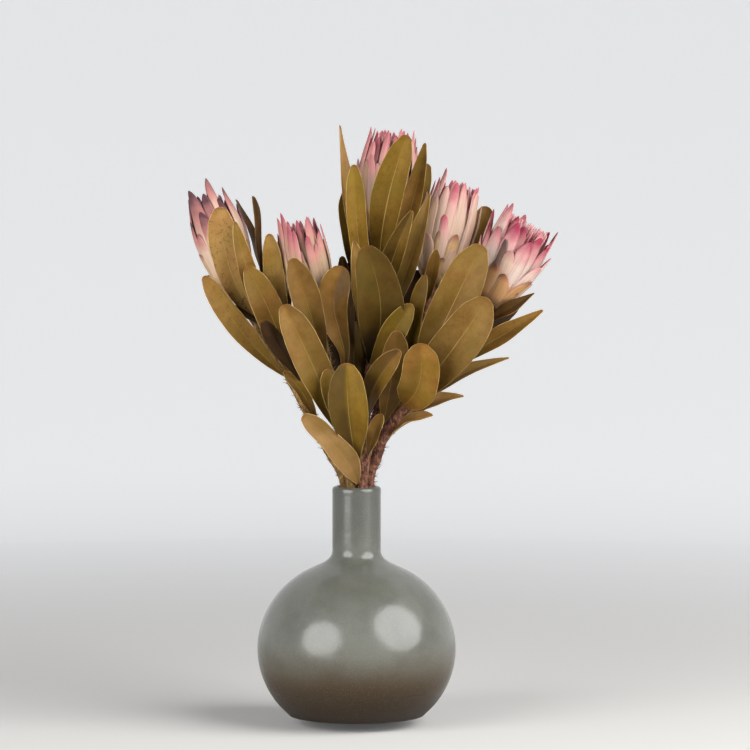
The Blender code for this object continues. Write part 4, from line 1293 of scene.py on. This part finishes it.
def make_sweep():
    """A round floor of pale paper that rises all round into a pale wall."""
    paper, tree, shader = new_material("pale_studio_paper", Base_Color=linear("#D9D7D3"), Roughness=0.95)
    place = add(tree, PLACE).outputs["Object"]
    away = add(tree, VECTOR_MATH, {0: place}, operation="LENGTH").outputs["Value"]
    glow = add(tree, RANGE, {0: away, 1: 0.25, 2: 2.2, 3: 0.06, 4: 0.66}, **SMOOTH)
    tree.links.new(glow.outputs[0], shader.inputs["Emission Strength"])
    shader.inputs["Emission Color"].default_value = linear("#E6E8EC")
    floor = [(0.02, 0), (0.3, 0), (0.8, 0), (SWEEP_BEND, 0)]
    wall = [(SWEEP_BEND, 0)]
    for i in range(1, 17):
        a = math.pi / 2 * i / 16
        wall.append((SWEEP_BEND + SWEEP_RADIUS * math.sin(a), SWEEP_RADIUS * (1 - math.cos(a))))
    wall.append((SWEEP_BEND + SWEEP_RADIUS, SWEEP_HEIGHT))
    turns = [math.tau * k / SWEEP_SIDES for k in range(SWEEP_SIDES)]
    for name, profile in (("studio_floor", floor), ("studio_wall", wall)):
        places = [(r * math.cos(turn), r * math.sin(turn), z) for r, z in profile for turn in turns]
        faces = grid_faces(len(profile), SWEEP_SIDES, closed=True)
        if profile is floor:
            faces.append(tuple(reversed(range(SWEEP_SIDES))))
        sheet = mesh_object(name, places, faces, paper)
        sheet.visible_diffuse = profile is floor


# ---------------------------------------------------------------- the whole

# Each head's bract finish: its name, then its colours at the foot, over most of its length, in
# the flush, at the very tip, on the browned outermost bracts and along the edges; and how far up
# the flush starts.
HEAD_COLOURS = {
    "far_left": (
        "mauve_dried_bract", "#A98A68", "#D0B49E", "#B67A74", "#553039", "#B08A62", "#7A4D50", 0.52),
    "left": (
        "rose_dried_bract", "#86683F", "#B4977A", "#B97E76", "#A0505C", "#8E6E48", "#CFA79B", 0.6),
    "middle": (
        "blush_dried_bract", "#8F7154", "#B5998A", "#C38985", "#AB5A62", "#93704C", "#CE9A97", 0.5),
    "right": (
        "pink_dried_bract", "#9C7F5E", "#BFA290", "#C8968F", "#AE5562", "#B39166", "#CFA09C", 0.64),
    "far_right": (
        "crimson_tipped_bract", "#A5815F", "#CCB4A8", "#C58C8A", "#96304A", "#B98C5E", "#B05563", 0.62),
    "aged": (
        "ashen_dried_bract", "#54402F", "#8C7263", "#77594F", "#4A3633", "#735D4B", "#9A8074", 0.5),
}
# Each leaf finish: its dark, middle and light browns, where it dried green, and its pale rim.
LEAF_COLOURS = {
    "olive": ("#5C400D", "#735416", "#866620", "#6B5A12", "#BC9E58"),
    "khaki": ("#6A4916", "#7F5A24", "#917036", "#77611C", "#C8A96C"),
    "tan": ("#795426", "#8C6838", "#9E7A4A", "#846A2E", "#CFB07A"),
    "umber": ("#2E1A06", "#472B0C", "#5E3F14", "#4A3810", "#9A7B45"),
}

for start_up in ("Cube", "Light", "Camera"):
    if start_up in bpy.data.objects:
        bpy.data.objects.remove(bpy.data.objects[start_up])
bpy.context.scene.view_settings.view_transform = "Standard"
set_stage()
make_vase(celadon_glaze())

red_bark = dry_bark("reddish_dry_bark", "#5A3222", "#8E5C42")
olive_bark = dry_bark("olive_dry_bark", "#63471C", "#94713A")
TORN_FIBRES = fibre_tree()
FIBRE = linked_object("fibre", fibre_mesh())
for stem in STEMS:
    make_stem(stem, olive_bark if stem.endswith("_left") else red_bark)
bpy.data.objects.remove(FIBRE)

SPIRAL = spiral_tree()
SUNFLOWER = sunflower_tree()
down = floret_down()
bract_finishes = {head: dried_bract(*colours) for head, colours in HEAD_COLOURS.items()}
for head in HEADS:
    make_head(head, bract_finishes, down)

leaf_finishes = {
    finish: dried_leaf(f"{finish}_dried_leaf", *colours) for finish, colours in LEAF_COLOURS.items()
}
for leaf in LEAVES:
    make_leaf(leaf, leaf_finishes)
for leaf, spare in SPARE_LEAVES.items():
    make_leaf(leaf, leaf_finishes, spare)
